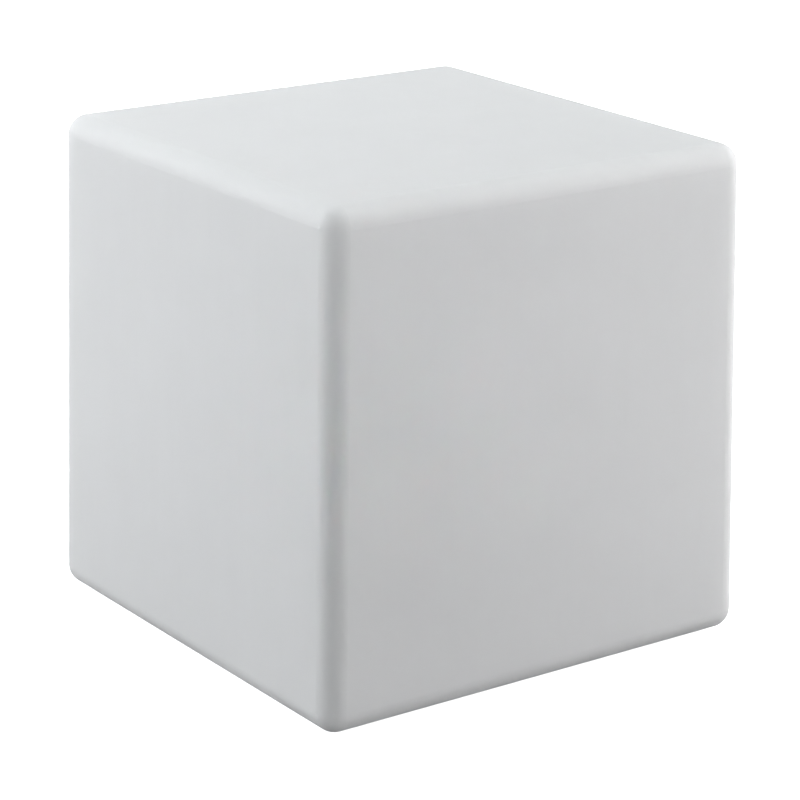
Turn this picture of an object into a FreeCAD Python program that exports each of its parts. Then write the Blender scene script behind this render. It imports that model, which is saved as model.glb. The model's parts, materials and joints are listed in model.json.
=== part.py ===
import FreeCAD, Part
import math
import os
import Sketcher
from FreeCAD import Vector

# LED cube light, 300 mm: a rotomoulded shell over a screwed-in battery light unit.
# Millimetres, +Z up, origin on the ground under the middle of the cube.

# Driving dimensions: name, value, what it is.
driving_sizes = [
    ("cube_side", 300, "shell width at its foot"),
    ("cube_height", 300, "shell height, without its feet"),
    ("wall_draft", 1.05, "lean of each side wall, degrees"),
    ("edge_radius", 12.5, "rounding of all outer edges"),
    ("wall", 3.5, "shell wall"),
    ("foot_radius", 11, "rubber foot"),
    ("foot_thick", 3.2, "rubber foot, in all"),
    ("foot_seat", 1.2, "how deep a foot sits in the shell"),
    ("foot_spread", 112, "foot centre from the middle, both ways"),
    ("recess_depth", 12, "depth of the round recess under the shell"),
    ("mouth_chamfer", 2, "chamfer round the recess mouth"),
    ("opening_gap", 3, "shell opening round the light unit's can"),
    ("ledge_width", 23, "shell ledge from that opening to the recess wall"),
    ("plate_gap", 1, "light unit's plate to the recess wall"),
    ("plate_thick", 4, "light unit's plate"),
    ("gasket_thick", 2, "gasket between plate and shell"),
    ("screw_inset", 10, "base screws from the recess wall"),
    ("screw_count", 6, "base screws"),
    ("screw_radius", 2, "M4 thread"),
    ("screw_length", 14, "M4 screw under its head"),
    ("head_radius", 4, "M4 pan head"),
    ("head_height", 2.4, "M4 pan head"),
    ("washer_radius", 4.6, "sealing washer"),
    ("washer_thick", 0.8, "sealing washer"),
    ("insert_radius", 3.5, "brass insert"),
    ("insert_length", 9, "brass insert"),
    ("boss_radius", 7, "shell boss round an insert"),
    ("boss_roof", 3, "shell material over an insert"),
    ("can_radius", 58, "light unit's can, outside"),
    ("can_wall", 2.5, "light unit's can"),
    ("deck_clearance", 4.2, "upper cell holder to the deck"),
    ("post_circle", 52.5, "deck screw posts from the middle"),
    ("post_radius", 4, "deck screw posts"),
    ("small_radius", 1.5, "M3 thread"),
    ("small_length", 13, "M3 deck screw under its head"),
    ("small_head", 2.9, "M3 pan head radius"),
    ("small_head_height", 2, "M3 pan head"),
    ("tiny_radius", 1.25, "M2.5 thread"),
    ("tiny_length", 8, "M2.5 screw under its head"),
    ("tiny_head", 2.3, "M2.5 pan head radius"),
    ("tiny_head_height", 1.6, "M2.5 pan head"),
    ("hole_gap", 0.25, "screw shank to a clearance hole"),
    ("snug_gap", 0.02, "between pieces that are pressed or screwed together"),
    ("slide_gap", 0.08, "between a sliding button and its hole"),
    ("seat_gap", 0.05, "flange to its seat"),
    ("lay_gap", 0.1, "cap to socket face, board to its edge slot"),
    ("button_radius", 6, "push button"),
    ("button_proud", 1.2, "button below the plate"),
    ("button_travel", 1, "push button stroke"),
    ("flange_extra", 1.6, "button flange beyond the button"),
    ("flange_thick", 1.2, "button flange"),
    ("stem_radius", 2, "button stem"),
    ("switch_side", 6, "tact switch body"),
    ("switch_height", 3.5, "tact switch body"),
    ("plunger_radius", 1.6, "tact switch plunger"),
    ("plunger_proud", 2, "plunger below the switch body"),
    ("power_x", -20, "power button"),
    ("mode_x", 2, "mode button"),
    ("button_y", -24, "both buttons and the status light"),
    ("status_x", -9, "status light"),
    ("pipe_radius", 1.5, "light pipe"),
    ("vent_y", -47, "vent plug"),
    ("vent_radius", 3.5, "vent plug stem"),
    ("vent_head", 5, "vent plug head"),
    ("socket_x", 34, "charge socket"),
    ("socket_y", -18, "charge socket"),
    ("socket_radius", 5.5, "socket barrel"),
    ("socket_flange", 7.2, "socket flange"),
    ("socket_flange_thick", 1.2, "socket flange"),
    ("socket_length", 16, "socket barrel above the flange"),
    ("socket_bore", 2.9, "hole that takes the charger's plug"),
    ("socket_bore_depth", 10, "depth of that hole"),
    ("contact_radius", 1.05, "centre contact"),
    ("contact_recess", 2.9, "contact tip behind the socket face"),
    ("seal_thick", 0.6, "socket seal"),
    ("nut_flat", 14, "socket nut across flats"),
    ("nut_thick", 2.5, "socket nut"),
    ("cap_radius", 8.6, "charge port cap"),
    ("cap_thick", 1.7, "charge port cap"),
    ("cap_nub_radius", 2.3, "cap nub in the socket"),
    ("cap_nub_length", 2.2, "cap nub"),
    ("cap_reach", 12, "cap hinge from the socket axis"),
    ("knuckle_radius", 1.7, "cap hinge knuckle"),
    ("knuckle_width", 6, "cap hinge knuckle"),
    ("lug_width", 2, "plate lug beside the knuckle"),
    ("hinge_pin_radius", 0.8, "cap hinge pin"),
    ("board_thick", 1.6, "circuit boards"),
    ("board_rise", 11, "control board above the can floor"),
    ("board_x", -4, "control board centre"),
    ("board_y", -22, "control board centre"),
    ("board_width", 52, "control board"),
    ("board_depth", 34, "control board"),
    ("board_corner", 2, "control board corner radius"),
    ("board_inset_x", 3, "board screws from the board's ends"),
    ("board_inset_y", 3, "board screws from the board's sides"),
    ("standoff_radius", 3, "posts under the control board"),
    ("header_height", 6.4, "wire headers"),
    ("cell_radius", 9.2, "battery cell"),
    ("cell_length", 65, "battery cell with its tip"),
    ("cell_gap", 0.8, "between neighbouring cells"),
    ("pack_y", 22, "middle of the four cells"),
    ("cell_rise", 3, "cells above the can floor"),
    ("holder_rim", 2.2, "cell holders beyond the cells"),
    ("holder_corner", 4, "cell holder corner radius"),
    ("tray_height", 10, "lower cell holder"),
    ("lid_grip", 9, "how far the upper holder reaches down the cells"),
    ("lid_roof", 1.5, "upper holder above the cells"),
    ("pocket_gap", 0.15, "cell to its pocket"),
    ("link_thick", 0.3, "nickel links between cells"),
    ("link_width", 6, "nickel links"),
    ("pillar_radius", 3.6, "pillar between the four cells"),
    ("guard_width", 20, "battery protection board"),
    ("guard_margin", 6.9, "protection board short of the cell stack, at each end"),
    ("guard_thick", 1.2, "battery protection board"),
    ("lead_radius", 0.8, "insulated wires"),
    ("harness_radius", 2.1, "sheathed lead to the lamps"),
    ("deck_thick", 2, "aluminium deck"),
    ("harness_hole", 4, "deck and lamp board hole for that lead"),
    ("harness_y", -9, "that hole from the middle"),
    ("lamp_board_radius", 44, "lamp board"),
    ("lamp_screw_circle", 41, "lamp board screws"),
    ("lamp_screw_length", 3.4, "lamp board screws under the head"),
    ("colour_ring", 35, "colour lamps from the middle"),
    ("colour_count", 12, "colour lamps"),
    ("warm_ring", 27, "warm white lamps from the middle"),
    ("warm_count", 10, "warm white lamps"),
    ("cool_ring", 19, "cool white lamps from the middle"),
    ("cool_count", 8, "cool white lamps"),
    ("dome_seal_thick", 1, "seal under the dome"),
    ("dome_flange_thick", 2.5, "dome flange"),
    ("dome_radius", 47, "dome wall, outside"),
    ("dome_wall", 2, "dome wall"),
    ("dome_height", 38, "dome above its flange"),
    ("dome_round", 26, "dome shoulder, outside"),
]

# Levels and radii that follow from them.
worked_out = [
    ("foot_stand", "Sizes.foot_thick - Sizes.foot_seat"),
    ("opening_radius", "Sizes.can_radius + Sizes.opening_gap"),
    ("recess_radius", "opening_radius + Sizes.ledge_width"),
    ("screw_circle", "recess_radius - Sizes.screw_inset"),
    ("recess_top", "foot_stand + Sizes.recess_depth"),
    ("plate_top", "recess_top - Sizes.gasket_thick"),
    ("plate_bottom", "plate_top - Sizes.plate_thick"),
    ("plate_radius", "recess_radius - Sizes.plate_gap"),
    ("washer_bottom", "plate_bottom - Sizes.washer_thick"),
    ("can_bore", "Sizes.can_radius - Sizes.can_wall"),
    ("board_bottom", "plate_top + Sizes.board_rise"),
    ("board_top", "board_bottom + Sizes.board_thick"),
    ("header_top", "board_top + Sizes.header_height"),
    ("switch_bottom", "board_bottom - Sizes.switch_height"),
    ("plunger_bottom", "switch_bottom - Sizes.plunger_proud"),
    ("button_bottom", "plate_bottom - Sizes.button_proud"),
    ("flange_bottom", "plate_top + Sizes.seat_gap"),
    ("flange_top", "flange_bottom + Sizes.flange_thick"),
    ("flange_radius", "Sizes.button_radius + Sizes.flange_extra"),
    ("seal_bottom", "plate_bottom - Sizes.seal_thick"),
    ("socket_face", "seal_bottom - Sizes.socket_flange_thick"),
    ("socket_top", "seal_bottom + Sizes.socket_length"),
    ("socket_bore_top", "socket_face + Sizes.socket_bore_depth"),
    ("contact_tip", "socket_face + Sizes.contact_recess"),
    ("cap_top", "socket_face - Sizes.lay_gap"),
    ("cap_bottom", "cap_top - Sizes.cap_thick"),
    ("hinge_level", "cap_bottom + Sizes.cap_thick / 2"),
    ("hinge_x", "Sizes.socket_x + Sizes.cap_reach"),
    ("cell_pitch", "2 * Sizes.cell_radius + Sizes.cell_gap"),
    ("holder_side", "cell_pitch + 2 * Sizes.cell_radius + 2 * Sizes.holder_rim"),
    ("cell_bottom", "plate_top + Sizes.cell_rise"),
    ("cell_top", "cell_bottom + Sizes.cell_length"),
    ("link_top", "cell_top + Sizes.link_thick"),
    ("lid_bottom", "cell_top - Sizes.lid_grip"),
    ("lid_top", "link_top + Sizes.lid_roof"),
    ("can_height", "lid_top + Sizes.deck_clearance - plate_top"),
    ("can_top", "plate_top + can_height"),
    ("guard_x", "0 - holder_side / 2 - Sizes.lay_gap - Sizes.guard_thick / 2"),
    ("guard_height", "lid_top - plate_top - 2 * Sizes.guard_margin"),
    ("guard_bottom", "plate_top + Sizes.guard_margin"),
    ("lead_x", "guard_x - Sizes.guard_thick / 2 - Sizes.lead_radius - Sizes.lay_gap"),
    ("deck_top", "can_top + Sizes.deck_thick"),
    ("lamp_board_top", "deck_top + Sizes.board_thick"),
    ("dome_flange_bottom", "deck_top + Sizes.dome_seal_thick"),
    ("dome_flange_top", "dome_flange_bottom + Sizes.dome_flange_thick"),
    ("dome_bore", "Sizes.dome_radius - Sizes.dome_wall"),
    ("dome_top", "dome_flange_top + Sizes.dome_height"),
]

doc = FreeCAD.newDocument("LedCubeLight")


def fill_sheet(name, rows):
    sheet = doc.addObject("Spreadsheet::Sheet", name)
    for row, (alias, content, note) in enumerate(rows, 1):
        sheet.set("A%d" % row, alias)
        sheet.set("B%d" % row, str(content))
        sheet.set("C%d" % row, note)
        sheet.setAlias("B%d" % row, alias)
    return sheet


sizes = fill_sheet("Sizes", driving_sizes)
levels = fill_sheet("Levels", [(alias, "=" + rule, "") for alias, rule in worked_out])
doc.recompute()


# --- placing and joining -------------------------------------------------------------

def place(obj, x="0", y="0", z="0"):
    for axis, rule in zip("xyz", (x, y, z)):
        obj.setExpression("Placement.Base." + axis, rule)
    return obj


def rod(label, radius, height, x="0", y="0", z="0"):
    """Upright cylinder standing on level z."""
    obj = doc.addObject("Part::Cylinder", label)
    obj.setExpression("Radius", radius)
    obj.setExpression("Height", height)
    return place(obj, x, y, z)


def rod_across(label, radius, length, x, y, z):
    """Cylinder along Y, centred on y."""
    obj = rod(label, radius, length, x, "(%s) + (%s) / 2" % (y, length), z)
    obj.Placement.Rotation = FreeCAD.Rotation(Vector(1, 0, 0), 90)
    return obj


def block(label, width, depth, height, x="0", y="0", z="0"):
    """Box centred on x and y, standing on level z."""
    obj = doc.addObject("Part::Box", label)
    obj.setExpression("Length", width)
    obj.setExpression("Width", depth)
    obj.setExpression("Height", height)
    return place(obj, "(%s) - (%s) / 2" % (x, width), "(%s) - (%s) / 2" % (y, depth), z)


def joined(label, parts):
    obj = doc.addObject("Part::MultiFuse", label)
    obj.Shapes = parts
    obj.Refine = True
    return obj


def cut(label, base, tools):
    obj = doc.addObject("Part::Cut", label)
    obj.Base = base
    obj.Tool = tools[0] if len(tools) == 1 else joined(label + "_cutters", tools)
    obj.Refine = True
    return obj


def group(label, parts):
    obj = doc.addObject("Part::Compound", label)
    obj.Links = parts
    return obj


def on_circle(radius, index, count, start=0):
    """Expressions for the x and y of one of count places round a circle."""
    angle = "(%g + %d * 360 / (%s)) * 1deg" % (start, index, count)
    return "(%s) * cos(%s)" % (radius, angle), "(%s) * sin(%s)" % (radius, angle)


# --- sketched bodies -----------------------------------------------------------------

def origin_plane(body, role):
    return [item for item in body.Origin.OriginFeatures if item.Role == role][0]


def sketch_on(body, name, role, corners):
    """A closed outline on an origin plane, each corner tied to its two expressions."""
    sketch = body.newObject("Sketcher::SketchObject", name)
    sketch.AttachmentSupport = (origin_plane(body, role), [""])
    sketch.MapMode = "FlatFace"
    count = len(corners)
    points = [Vector(float(sketch.evalExpression(x)), float(sketch.evalExpression(y)), 0)
              for x, y in corners]
    for index in range(count):
        line = Part.LineSegment(points[index], points[(index + 1) % count])
        sketch.addGeometry(line, False)
    for index in range(count):
        sketch.addConstraint(Sketcher.Constraint("Coincident", index, 2, (index + 1) % count, 1))
    for index in range(count):
        tie(sketch, index, "DistanceX", -2, points[index].x, corners[index][0])
        tie(sketch, index, "DistanceY", -1, points[index].y, corners[index][1])
    return sketch


def tie(sketch, index, kind, axis, value, rule):
    """Tie one coordinate of a line's start to a rule, or to the axis where it is nought."""
    if abs(value) < 1e-9:
        sketch.addConstraint(Sketcher.Constraint("PointOnObject", index, 1, axis))
        return
    number = sketch.addConstraint(Sketcher.Constraint(kind, -1, 1, index, 1, value))
    sketch.setExpression("Constraints[%d]" % number, rule)


def turned(label, corners, x="0", y="0", z="0"):
    """A turned piece: (radius, height) corners revolved about the upright axis."""
    body = doc.addObject("PartDesign::Body", label)
    profile = sketch_on(body, label + "_profile", "XZ_Plane", corners)
    feature = body.newObject("PartDesign::Revolution", label + "_turned")
    feature.Profile = profile
    feature.ReferenceAxis = (profile, ["V_Axis"])
    feature.Angle = 360
    doc.recompute()
    return place(body, x, y, z)


def ring_of_turned(label, corners, radius, count, z, start=0):
    """The same turned piece round a circle."""
    body = doc.addObject("PartDesign::Body", label)
    profile = sketch_on(body, label + "_profile", "XZ_Plane", corners)
    profile.setExpression("AttachmentOffset.Base.x", radius)
    feature = body.newObject("PartDesign::Revolution", label + "_turned")
    feature.Profile = profile
    feature.ReferenceAxis = (profile, ["V_Axis"])
    feature.Angle = 360
    doc.recompute()
    pattern = body.newObject("PartDesign::PolarPattern", label + "_ring")
    pattern.Originals = [feature]
    pattern.Axis = (origin_plane(body, "Z_Axis"), [""])
    pattern.Angle = 360
    pattern.setExpression("Occurrences", count)
    body.Tip = pattern
    place(body, z=z)
    body.Placement.Rotation = FreeCAD.Rotation(Vector(0, 0, 1), start)
    return body


def upright_edges(shape):
    names = []
    for number, edge in enumerate(shape.Edges, 1):
        box = edge.BoundBox
        if box.XLength < 1e-6 and box.YLength < 1e-6:
            names.append("Edge%d" % number)
    return names


def board(label, width, depth, height, corner, x="0", y="0", z="0"):
    """A flat piece with rounded corners, centred on x and y."""
    body = doc.addObject("PartDesign::Body", label)
    half_x = "(%s) / 2" % width
    half_y = "(%s) / 2" % depth
    corners = [("-1 * " + half_x, "-1 * " + half_y), (half_x, "-1 * " + half_y),
               (half_x, half_y), ("-1 * " + half_x, half_y)]
    profile = sketch_on(body, label + "_outline", "XY_Plane", corners)
    pad = body.newObject("PartDesign::Pad", label + "_pad")
    pad.Profile = profile
    pad.setExpression("Length", height)
    doc.recompute()
    rounding = body.newObject("PartDesign::Fillet", label + "_corners")
    rounding.Base = (pad, upright_edges(pad.Shape))
    rounding.setExpression("Radius", corner)
    doc.recompute()
    return place(body, x, y, z)


def drafted_block(label, half_side, bottom, height, radius):
    """A square block whose sides lean in with height, with every edge rounded."""
    body = doc.addObject("PartDesign::Body", label)
    low, high = "-1 * (%s)" % half_side, half_side
    outline = [(low, low), (high, low), (high, high), (low, high)]
    profile = sketch_on(body, label + "_outline", "XY_Plane", outline)
    pad = body.newObject("PartDesign::Pad", label + "_pad")
    pad.Profile = profile
    pad.setExpression("Length", height)
    pad.setExpression("TaperAngle", "-1 * Sizes.wall_draft")
    doc.recompute()
    rounding = body.newObject("PartDesign::Fillet", label + "_rounding")
    rounding.Base = (pad, ["Edge%d" % (number + 1) for number in range(len(pad.Shape.Edges))])
    rounding.setExpression("Radius", radius)
    doc.recompute()
    return place(body, z=bottom)


# --- shell and what screws to it -----------------------------------------------------

foot_places = {
    "front_left": (-1, -1),
    "front_right": (1, -1),
    "rear_left": (-1, 1),
    "rear_right": (1, 1),
}


def make_shell():
    lean = "tan(Sizes.wall_draft * 1deg) * Sizes.wall"
    outer = drafted_block("shell_outside", "Sizes.cube_side / 2", "Levels.foot_stand",
                          "Sizes.cube_height", "Sizes.edge_radius")
    hollow = drafted_block("shell_hollow", "Sizes.cube_side / 2 - Sizes.wall - " + lean,
                           "Levels.foot_stand + Sizes.wall",
                           "Sizes.cube_height - 2 * Sizes.wall",
                           "Sizes.edge_radius - Sizes.wall")
    skin = cut("shell_skin", outer, [hollow])
    well = rod("recess_wall", "Levels.recess_radius + Sizes.wall",
               "Sizes.recess_depth + Sizes.wall", z="Levels.foot_stand")
    boss_height = "Sizes.insert_length + Sizes.boss_roof"
    bosses = ring_of_turned("insert_bosses",
                            [("0", "0"), ("Sizes.boss_radius", "0"),
                             ("Sizes.boss_radius", boss_height), ("0", boss_height)],
                            "Levels.screw_circle", "Sizes.screw_count", "Levels.recess_top", 30)
    recess = turned("recess_cutter", [
        ("0", "-1"), ("Levels.recess_radius + Sizes.mouth_chamfer", "-1"),
        ("Levels.recess_radius + Sizes.mouth_chamfer", "0"),
        ("Levels.recess_radius", "Sizes.mouth_chamfer"),
        ("Levels.recess_radius", "Sizes.recess_depth"), ("0", "Sizes.recess_depth")],
        z="Levels.foot_stand")
    opening = rod("opening_cutter", "Levels.opening_radius", "3 * Sizes.wall",
                  z="Levels.recess_top - Sizes.wall")
    hole_radius = "Sizes.insert_radius + Sizes.snug_gap"
    hole_height = "Sizes.insert_length + Sizes.snug_gap"
    holes = ring_of_turned("insert_holes",
                           [("0", "0"), (hole_radius, "0"),
                            (hole_radius, hole_height), ("0", hole_height)],
                           "Levels.screw_circle", "Sizes.screw_count", "Levels.recess_top", 30)
    seats = [rod("foot_seat_" + name, "Sizes.foot_radius + Sizes.snug_gap",
                 "Sizes.foot_seat + 1", "%d * Sizes.foot_spread" % sx,
                 "%d * Sizes.foot_spread" % sy, "Levels.foot_stand - 1")
             for name, (sx, sy) in foot_places.items()]
    whole = joined("shell_with_well", [skin, well, bosses])
    return cut("shell", whole, [recess, opening, holes] + seats)


def make_feet():
    side = "Sizes.foot_radius"
    profile = [("0", "0"), (side + " - 1", "0"), (side, "1"),
               (side, "Sizes.foot_thick"), ("0", "Sizes.foot_thick")]
    return [turned("foot_" + name, profile, "%d * Sizes.foot_spread" % sx,
                   "%d * Sizes.foot_spread" % sy)
            for name, (sx, sy) in foot_places.items()]


def make_inserts():
    groove = "Sizes.insert_radius - 0.5"
    edge = "Sizes.insert_radius"
    bore = "Sizes.screw_radius + Sizes.snug_gap"
    profile = [(bore, "0"), (edge, "0"), (edge, "Sizes.insert_length * 0.4"),
               (groove, "Sizes.insert_length * 0.45"), (groove, "Sizes.insert_length * 0.55"),
               (edge, "Sizes.insert_length * 0.6"), (edge, "Sizes.insert_length"),
               (bore, "Sizes.insert_length")]
    return ring_of_turned("threaded_inserts", profile, "Levels.screw_circle",
                          "Sizes.screw_count", "Levels.recess_top", 30)


def make_gasket():
    disc = rod("gasket_disc", "Levels.plate_radius - 1", "Sizes.gasket_thick",
               z="Levels.plate_top")
    centre = rod("gasket_centre", "Levels.opening_radius + 1", "Sizes.gasket_thick + 2",
                 z="Levels.plate_top - 1")
    holes = [rod("gasket_hole", "Sizes.screw_radius + Sizes.hole_gap",
                 "Sizes.gasket_thick + 2", *on_circle("Levels.screw_circle", index,
                                                      "Sizes.screw_count", 30),
                 z="Levels.plate_top - 1") for index in range(int(sizes.screw_count))]
    return cut("base_gasket", disc, [centre] + holes)


def pan_screw_profile(radius, length, head_radius, head_height):
    """A screw whose head rests under level 0, its shank above, and a recess in the head."""
    drive = "(%s) * 0.45" % head_radius
    return [("0", "-0.45 * " + head_height), (drive, "-0.45 * " + head_height),
            (drive, "-1 * " + head_height), (head_radius + " * 0.85", "-1 * " + head_height),
            (head_radius, "-0.6 * " + head_height), (head_radius, "0"), (radius, "0"),
            (radius, "%s - 0.8" % length), ("(%s) * 0.6" % radius, length), ("0", length)]


def make_base_screws():
    profile = pan_screw_profile("Sizes.screw_radius", "Sizes.screw_length",
                                "Sizes.head_radius", "Sizes.head_height")
    return ring_of_turned("base_screws", profile, "Levels.screw_circle", "Sizes.screw_count",
                          "Levels.washer_bottom", 30)


def make_washers():
    bore = "Sizes.screw_radius + Sizes.snug_gap"
    profile = [(bore, "0"), ("Sizes.washer_radius", "0"),
               ("Sizes.washer_radius", "Sizes.washer_thick"), (bore, "Sizes.washer_thick")]
    return ring_of_turned("sealing_washers", profile, "Levels.screw_circle",
                          "Sizes.screw_count", "Levels.washer_bottom", 30)


# --- light unit housing --------------------------------------------------------------

def standoff_places():
    """The four places of the control board's screws."""
    return [("Sizes.board_x + %d * (Sizes.board_width / 2 - Sizes.board_inset_x)" % sx,
             "Sizes.board_y + %d * (Sizes.board_depth / 2 - Sizes.board_inset_y)" % sy)
            for sx in (-1, 1) for sy in (-1, 1)]


def deck_places():
    return [on_circle("Sizes.post_circle", index, "4", 45) for index in range(4)]


def lug_places():
    offset = "(Sizes.knuckle_width / 2 + Sizes.seat_gap + Sizes.lug_width / 2)"
    return ["Sizes.socket_y - " + offset, "Sizes.socket_y + " + offset]


def make_hinge_lug(index, y):
    """A rounded lug that hangs from the plate beside the cap's knuckle."""
    drop = block("lug_web_%d" % index, "2 * Sizes.knuckle_radius", "Sizes.lug_width",
                 "Levels.plate_bottom - Levels.hinge_level", "Levels.hinge_x", y,
                 "Levels.hinge_level")
    eye = rod_across("lug_eye_%d" % index, "Sizes.knuckle_radius", "Sizes.lug_width",
                     "Levels.hinge_x", y, "Levels.hinge_level")
    return joined("hinge_lug_%d" % index, [drop, eye])


def plate_holes():
    """Everything that passes right through the light unit's plate."""
    tall = "Sizes.plate_thick + 2"
    low = "Levels.plate_bottom - 1"
    holes = [rod("screw_hole", "Sizes.screw_radius + Sizes.hole_gap", tall,
                 *on_circle("Levels.screw_circle", index, "Sizes.screw_count", 30), z=low)
             for index in range(int(sizes.screw_count))]
    for x in ("Sizes.power_x", "Sizes.mode_x"):
        holes.append(rod("button_hole", "Sizes.button_radius + Sizes.slide_gap", tall,
                         x, "Sizes.button_y", low))
    holes.append(rod("pipe_hole", "Sizes.pipe_radius + Sizes.snug_gap", tall,
                     "Sizes.status_x", "Sizes.button_y", low))
    holes.append(rod("vent_hole", "Sizes.vent_radius + Sizes.snug_gap", tall, "0",
                     "Sizes.vent_y", low))
    holes.append(rod("socket_hole", "Sizes.socket_radius + Sizes.snug_gap", tall,
                     "Sizes.socket_x", "Sizes.socket_y", low))
    return holes


def pilot_holes():
    """Blind holes that the self-tapping screws bite in, from the top of each post."""
    holes = [rod("deck_pilot", "Sizes.small_radius + Sizes.snug_gap", "Sizes.small_length", x, y,
                 "Levels.can_top - Sizes.small_length + 1") for x, y in deck_places()]
    for x, y in standoff_places():
        holes.append(rod("board_pilot", "Sizes.tiny_radius + Sizes.snug_gap",
                         "Sizes.tiny_length", x, y,
                         "Levels.board_bottom - Sizes.tiny_length + 1"))
    holes.append(rod("pillar_pilot", "Sizes.small_radius + Sizes.snug_gap",
                     "Sizes.small_length", "0", "Sizes.pack_y",
                     "Levels.lid_top - Sizes.small_length - 1"))
    return holes


def make_housing():
    can = turned("housing_form", [
        ("0", "Levels.plate_bottom"), ("Levels.plate_radius - 1", "Levels.plate_bottom"),
        ("Levels.plate_radius", "Levels.plate_bottom + 1"),
        ("Levels.plate_radius", "Levels.plate_top"), ("Sizes.can_radius", "Levels.plate_top"),
        ("Sizes.can_radius", "Levels.can_top"), ("Levels.can_bore", "Levels.can_top"),
        ("Levels.can_bore", "Levels.plate_top"), ("0", "Levels.plate_top")])
    parts = [can]
    for x, y in deck_places():
        parts.append(rod("deck_post", "Sizes.post_radius", "Levels.can_height", x, y,
                         "Levels.plate_top"))
    for x, y in standoff_places():
        parts.append(rod("standoff", "Sizes.standoff_radius", "Sizes.board_rise", x, y,
                         "Levels.plate_top"))
    parts.append(rod("pack_pillar", "Sizes.pillar_radius",
                     "Levels.lid_top - 4 - Levels.plate_top", "0",
                     "Sizes.pack_y", "Levels.plate_top"))
    for index, y in enumerate(lug_places()):
        parts.append(make_hinge_lug(index, y))
    pin_hole = rod_across("hinge_pin_hole", "Sizes.hinge_pin_radius + Sizes.snug_gap",
                          "Sizes.knuckle_width + 4 * Sizes.lug_width", "Levels.hinge_x",
                          "Sizes.socket_y", "Levels.hinge_level")
    solid = joined("housing_solid", parts)
    return cut("base_housing", solid, plate_holes() + pilot_holes() + [pin_hole])


def make_vent_plug():
    stem, head = "Sizes.vent_radius", "Sizes.vent_head"
    low, high = "Levels.plate_bottom", "Levels.plate_top"
    barb = "Sizes.vent_radius + 0.5"
    return turned("vent_plug", [
        ("1", low + " - 1.6"), (head + " - 0.6", low + " - 1.6"), (head, low + " - 1"),
        (head, low), (stem, low), (stem, high + " + 0.1"), (barb, high + " + 0.3"),
        (stem + " - 0.6", high + " + 2.4"), ("2.2", high + " + 2.4"), ("2.2", low),
        ("1", low)], "0", "Sizes.vent_y")


# --- charge socket and its cap -------------------------------------------------------

def make_socket():
    bore, barrel, flange = "Sizes.socket_bore", "Sizes.socket_radius", "Sizes.socket_flange"
    contact = "Sizes.contact_radius"
    return turned("charge_socket", [
        ("0", "Levels.contact_tip"), (contact, "Levels.contact_tip + 0.6"),
        (contact, "Levels.socket_bore_top"), (bore, "Levels.socket_bore_top"),
        (bore, "Levels.socket_face"), (flange + " - 0.5", "Levels.socket_face"),
        (flange, "Levels.socket_face + 0.5"), (flange, "Levels.seal_bottom"),
        (barrel, "Levels.seal_bottom"), (barrel, "Levels.socket_top"),
        ("0", "Levels.socket_top")], "Sizes.socket_x", "Sizes.socket_y")


def make_socket_nut():
    prism = doc.addObject("Part::Prism", "nut_prism")
    prism.Polygon = 6
    prism.setExpression("Circumradius", "Sizes.nut_flat / 2 / cos(30deg)")
    prism.setExpression("Height", "Sizes.nut_thick")
    place(prism, "Sizes.socket_x", "Sizes.socket_y", "Levels.plate_top")
    hole = rod("nut_hole", "Sizes.socket_radius + Sizes.snug_gap", "Sizes.nut_thick + 2",
               "Sizes.socket_x", "Sizes.socket_y", "Levels.plate_top - 1")
    return cut("socket_nut", prism, [hole])


def make_socket_seal():
    bore = "Sizes.socket_radius + Sizes.snug_gap"
    outside = "Sizes.socket_flange - 0.2"
    return turned("socket_seal", [
        (bore, "0"), (outside, "0"), (outside, "Sizes.seal_thick"), (bore, "Sizes.seal_thick")],
        "Sizes.socket_x", "Sizes.socket_y", "Levels.seal_bottom")


def make_port_cap():
    disc = turned("cap_disc", [
        ("0", "Levels.cap_bottom"), ("Sizes.cap_radius - 0.6", "Levels.cap_bottom"),
        ("Sizes.cap_radius", "Levels.cap_bottom + 0.6"), ("Sizes.cap_radius", "Levels.cap_top"),
        ("Sizes.cap_nub_radius", "Levels.cap_top"),
        ("Sizes.cap_nub_radius", "Levels.cap_top + Sizes.cap_nub_length"),
        ("0", "Levels.cap_top + Sizes.cap_nub_length")], "Sizes.socket_x", "Sizes.socket_y")
    strap = block("cap_strap", "Sizes.cap_reach", "Sizes.knuckle_width", "Sizes.cap_thick",
                  "Levels.hinge_x - Sizes.cap_reach / 2", "Sizes.socket_y", "Levels.cap_bottom")
    knuckle = rod_across("cap_knuckle", "Sizes.knuckle_radius", "Sizes.knuckle_width",
                         "Levels.hinge_x", "Sizes.socket_y", "Levels.hinge_level")
    hole = rod_across("cap_hole", "Sizes.hinge_pin_radius + Sizes.slide_gap",
                      "Sizes.knuckle_width + 2", "Levels.hinge_x", "Sizes.socket_y",
                      "Levels.hinge_level")
    return cut("port_cap", joined("cap_solid", [disc, strap, knuckle]), [hole])


def make_hinge_pin():
    length = "Sizes.knuckle_width + 2 * Sizes.lug_width + 2 * Sizes.seat_gap"
    return rod_across("cap_hinge_pin", "Sizes.hinge_pin_radius", length, "Levels.hinge_x",
                      "Sizes.socket_y", "Levels.hinge_level")


# --- buttons, switches and status light ----------------------------------------------

def make_button(label, x):
    face, flange = "Sizes.button_radius", "Levels.flange_radius"
    return turned(label, [
        ("0", "Levels.button_bottom + 0.3"), (face + " * 0.6", "Levels.button_bottom + 0.3"),
        (face + " * 0.75", "Levels.button_bottom"), (face + " - 0.5", "Levels.button_bottom"),
        (face, "Levels.button_bottom + 0.5"), (face, "Levels.flange_bottom"),
        (flange, "Levels.flange_bottom"), (flange, "Levels.flange_top"),
        ("Sizes.stem_radius", "Levels.flange_top"), ("Sizes.stem_radius", "Levels.plunger_bottom"),
        ("0", "Levels.plunger_bottom")], x, "Sizes.button_y")


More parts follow.
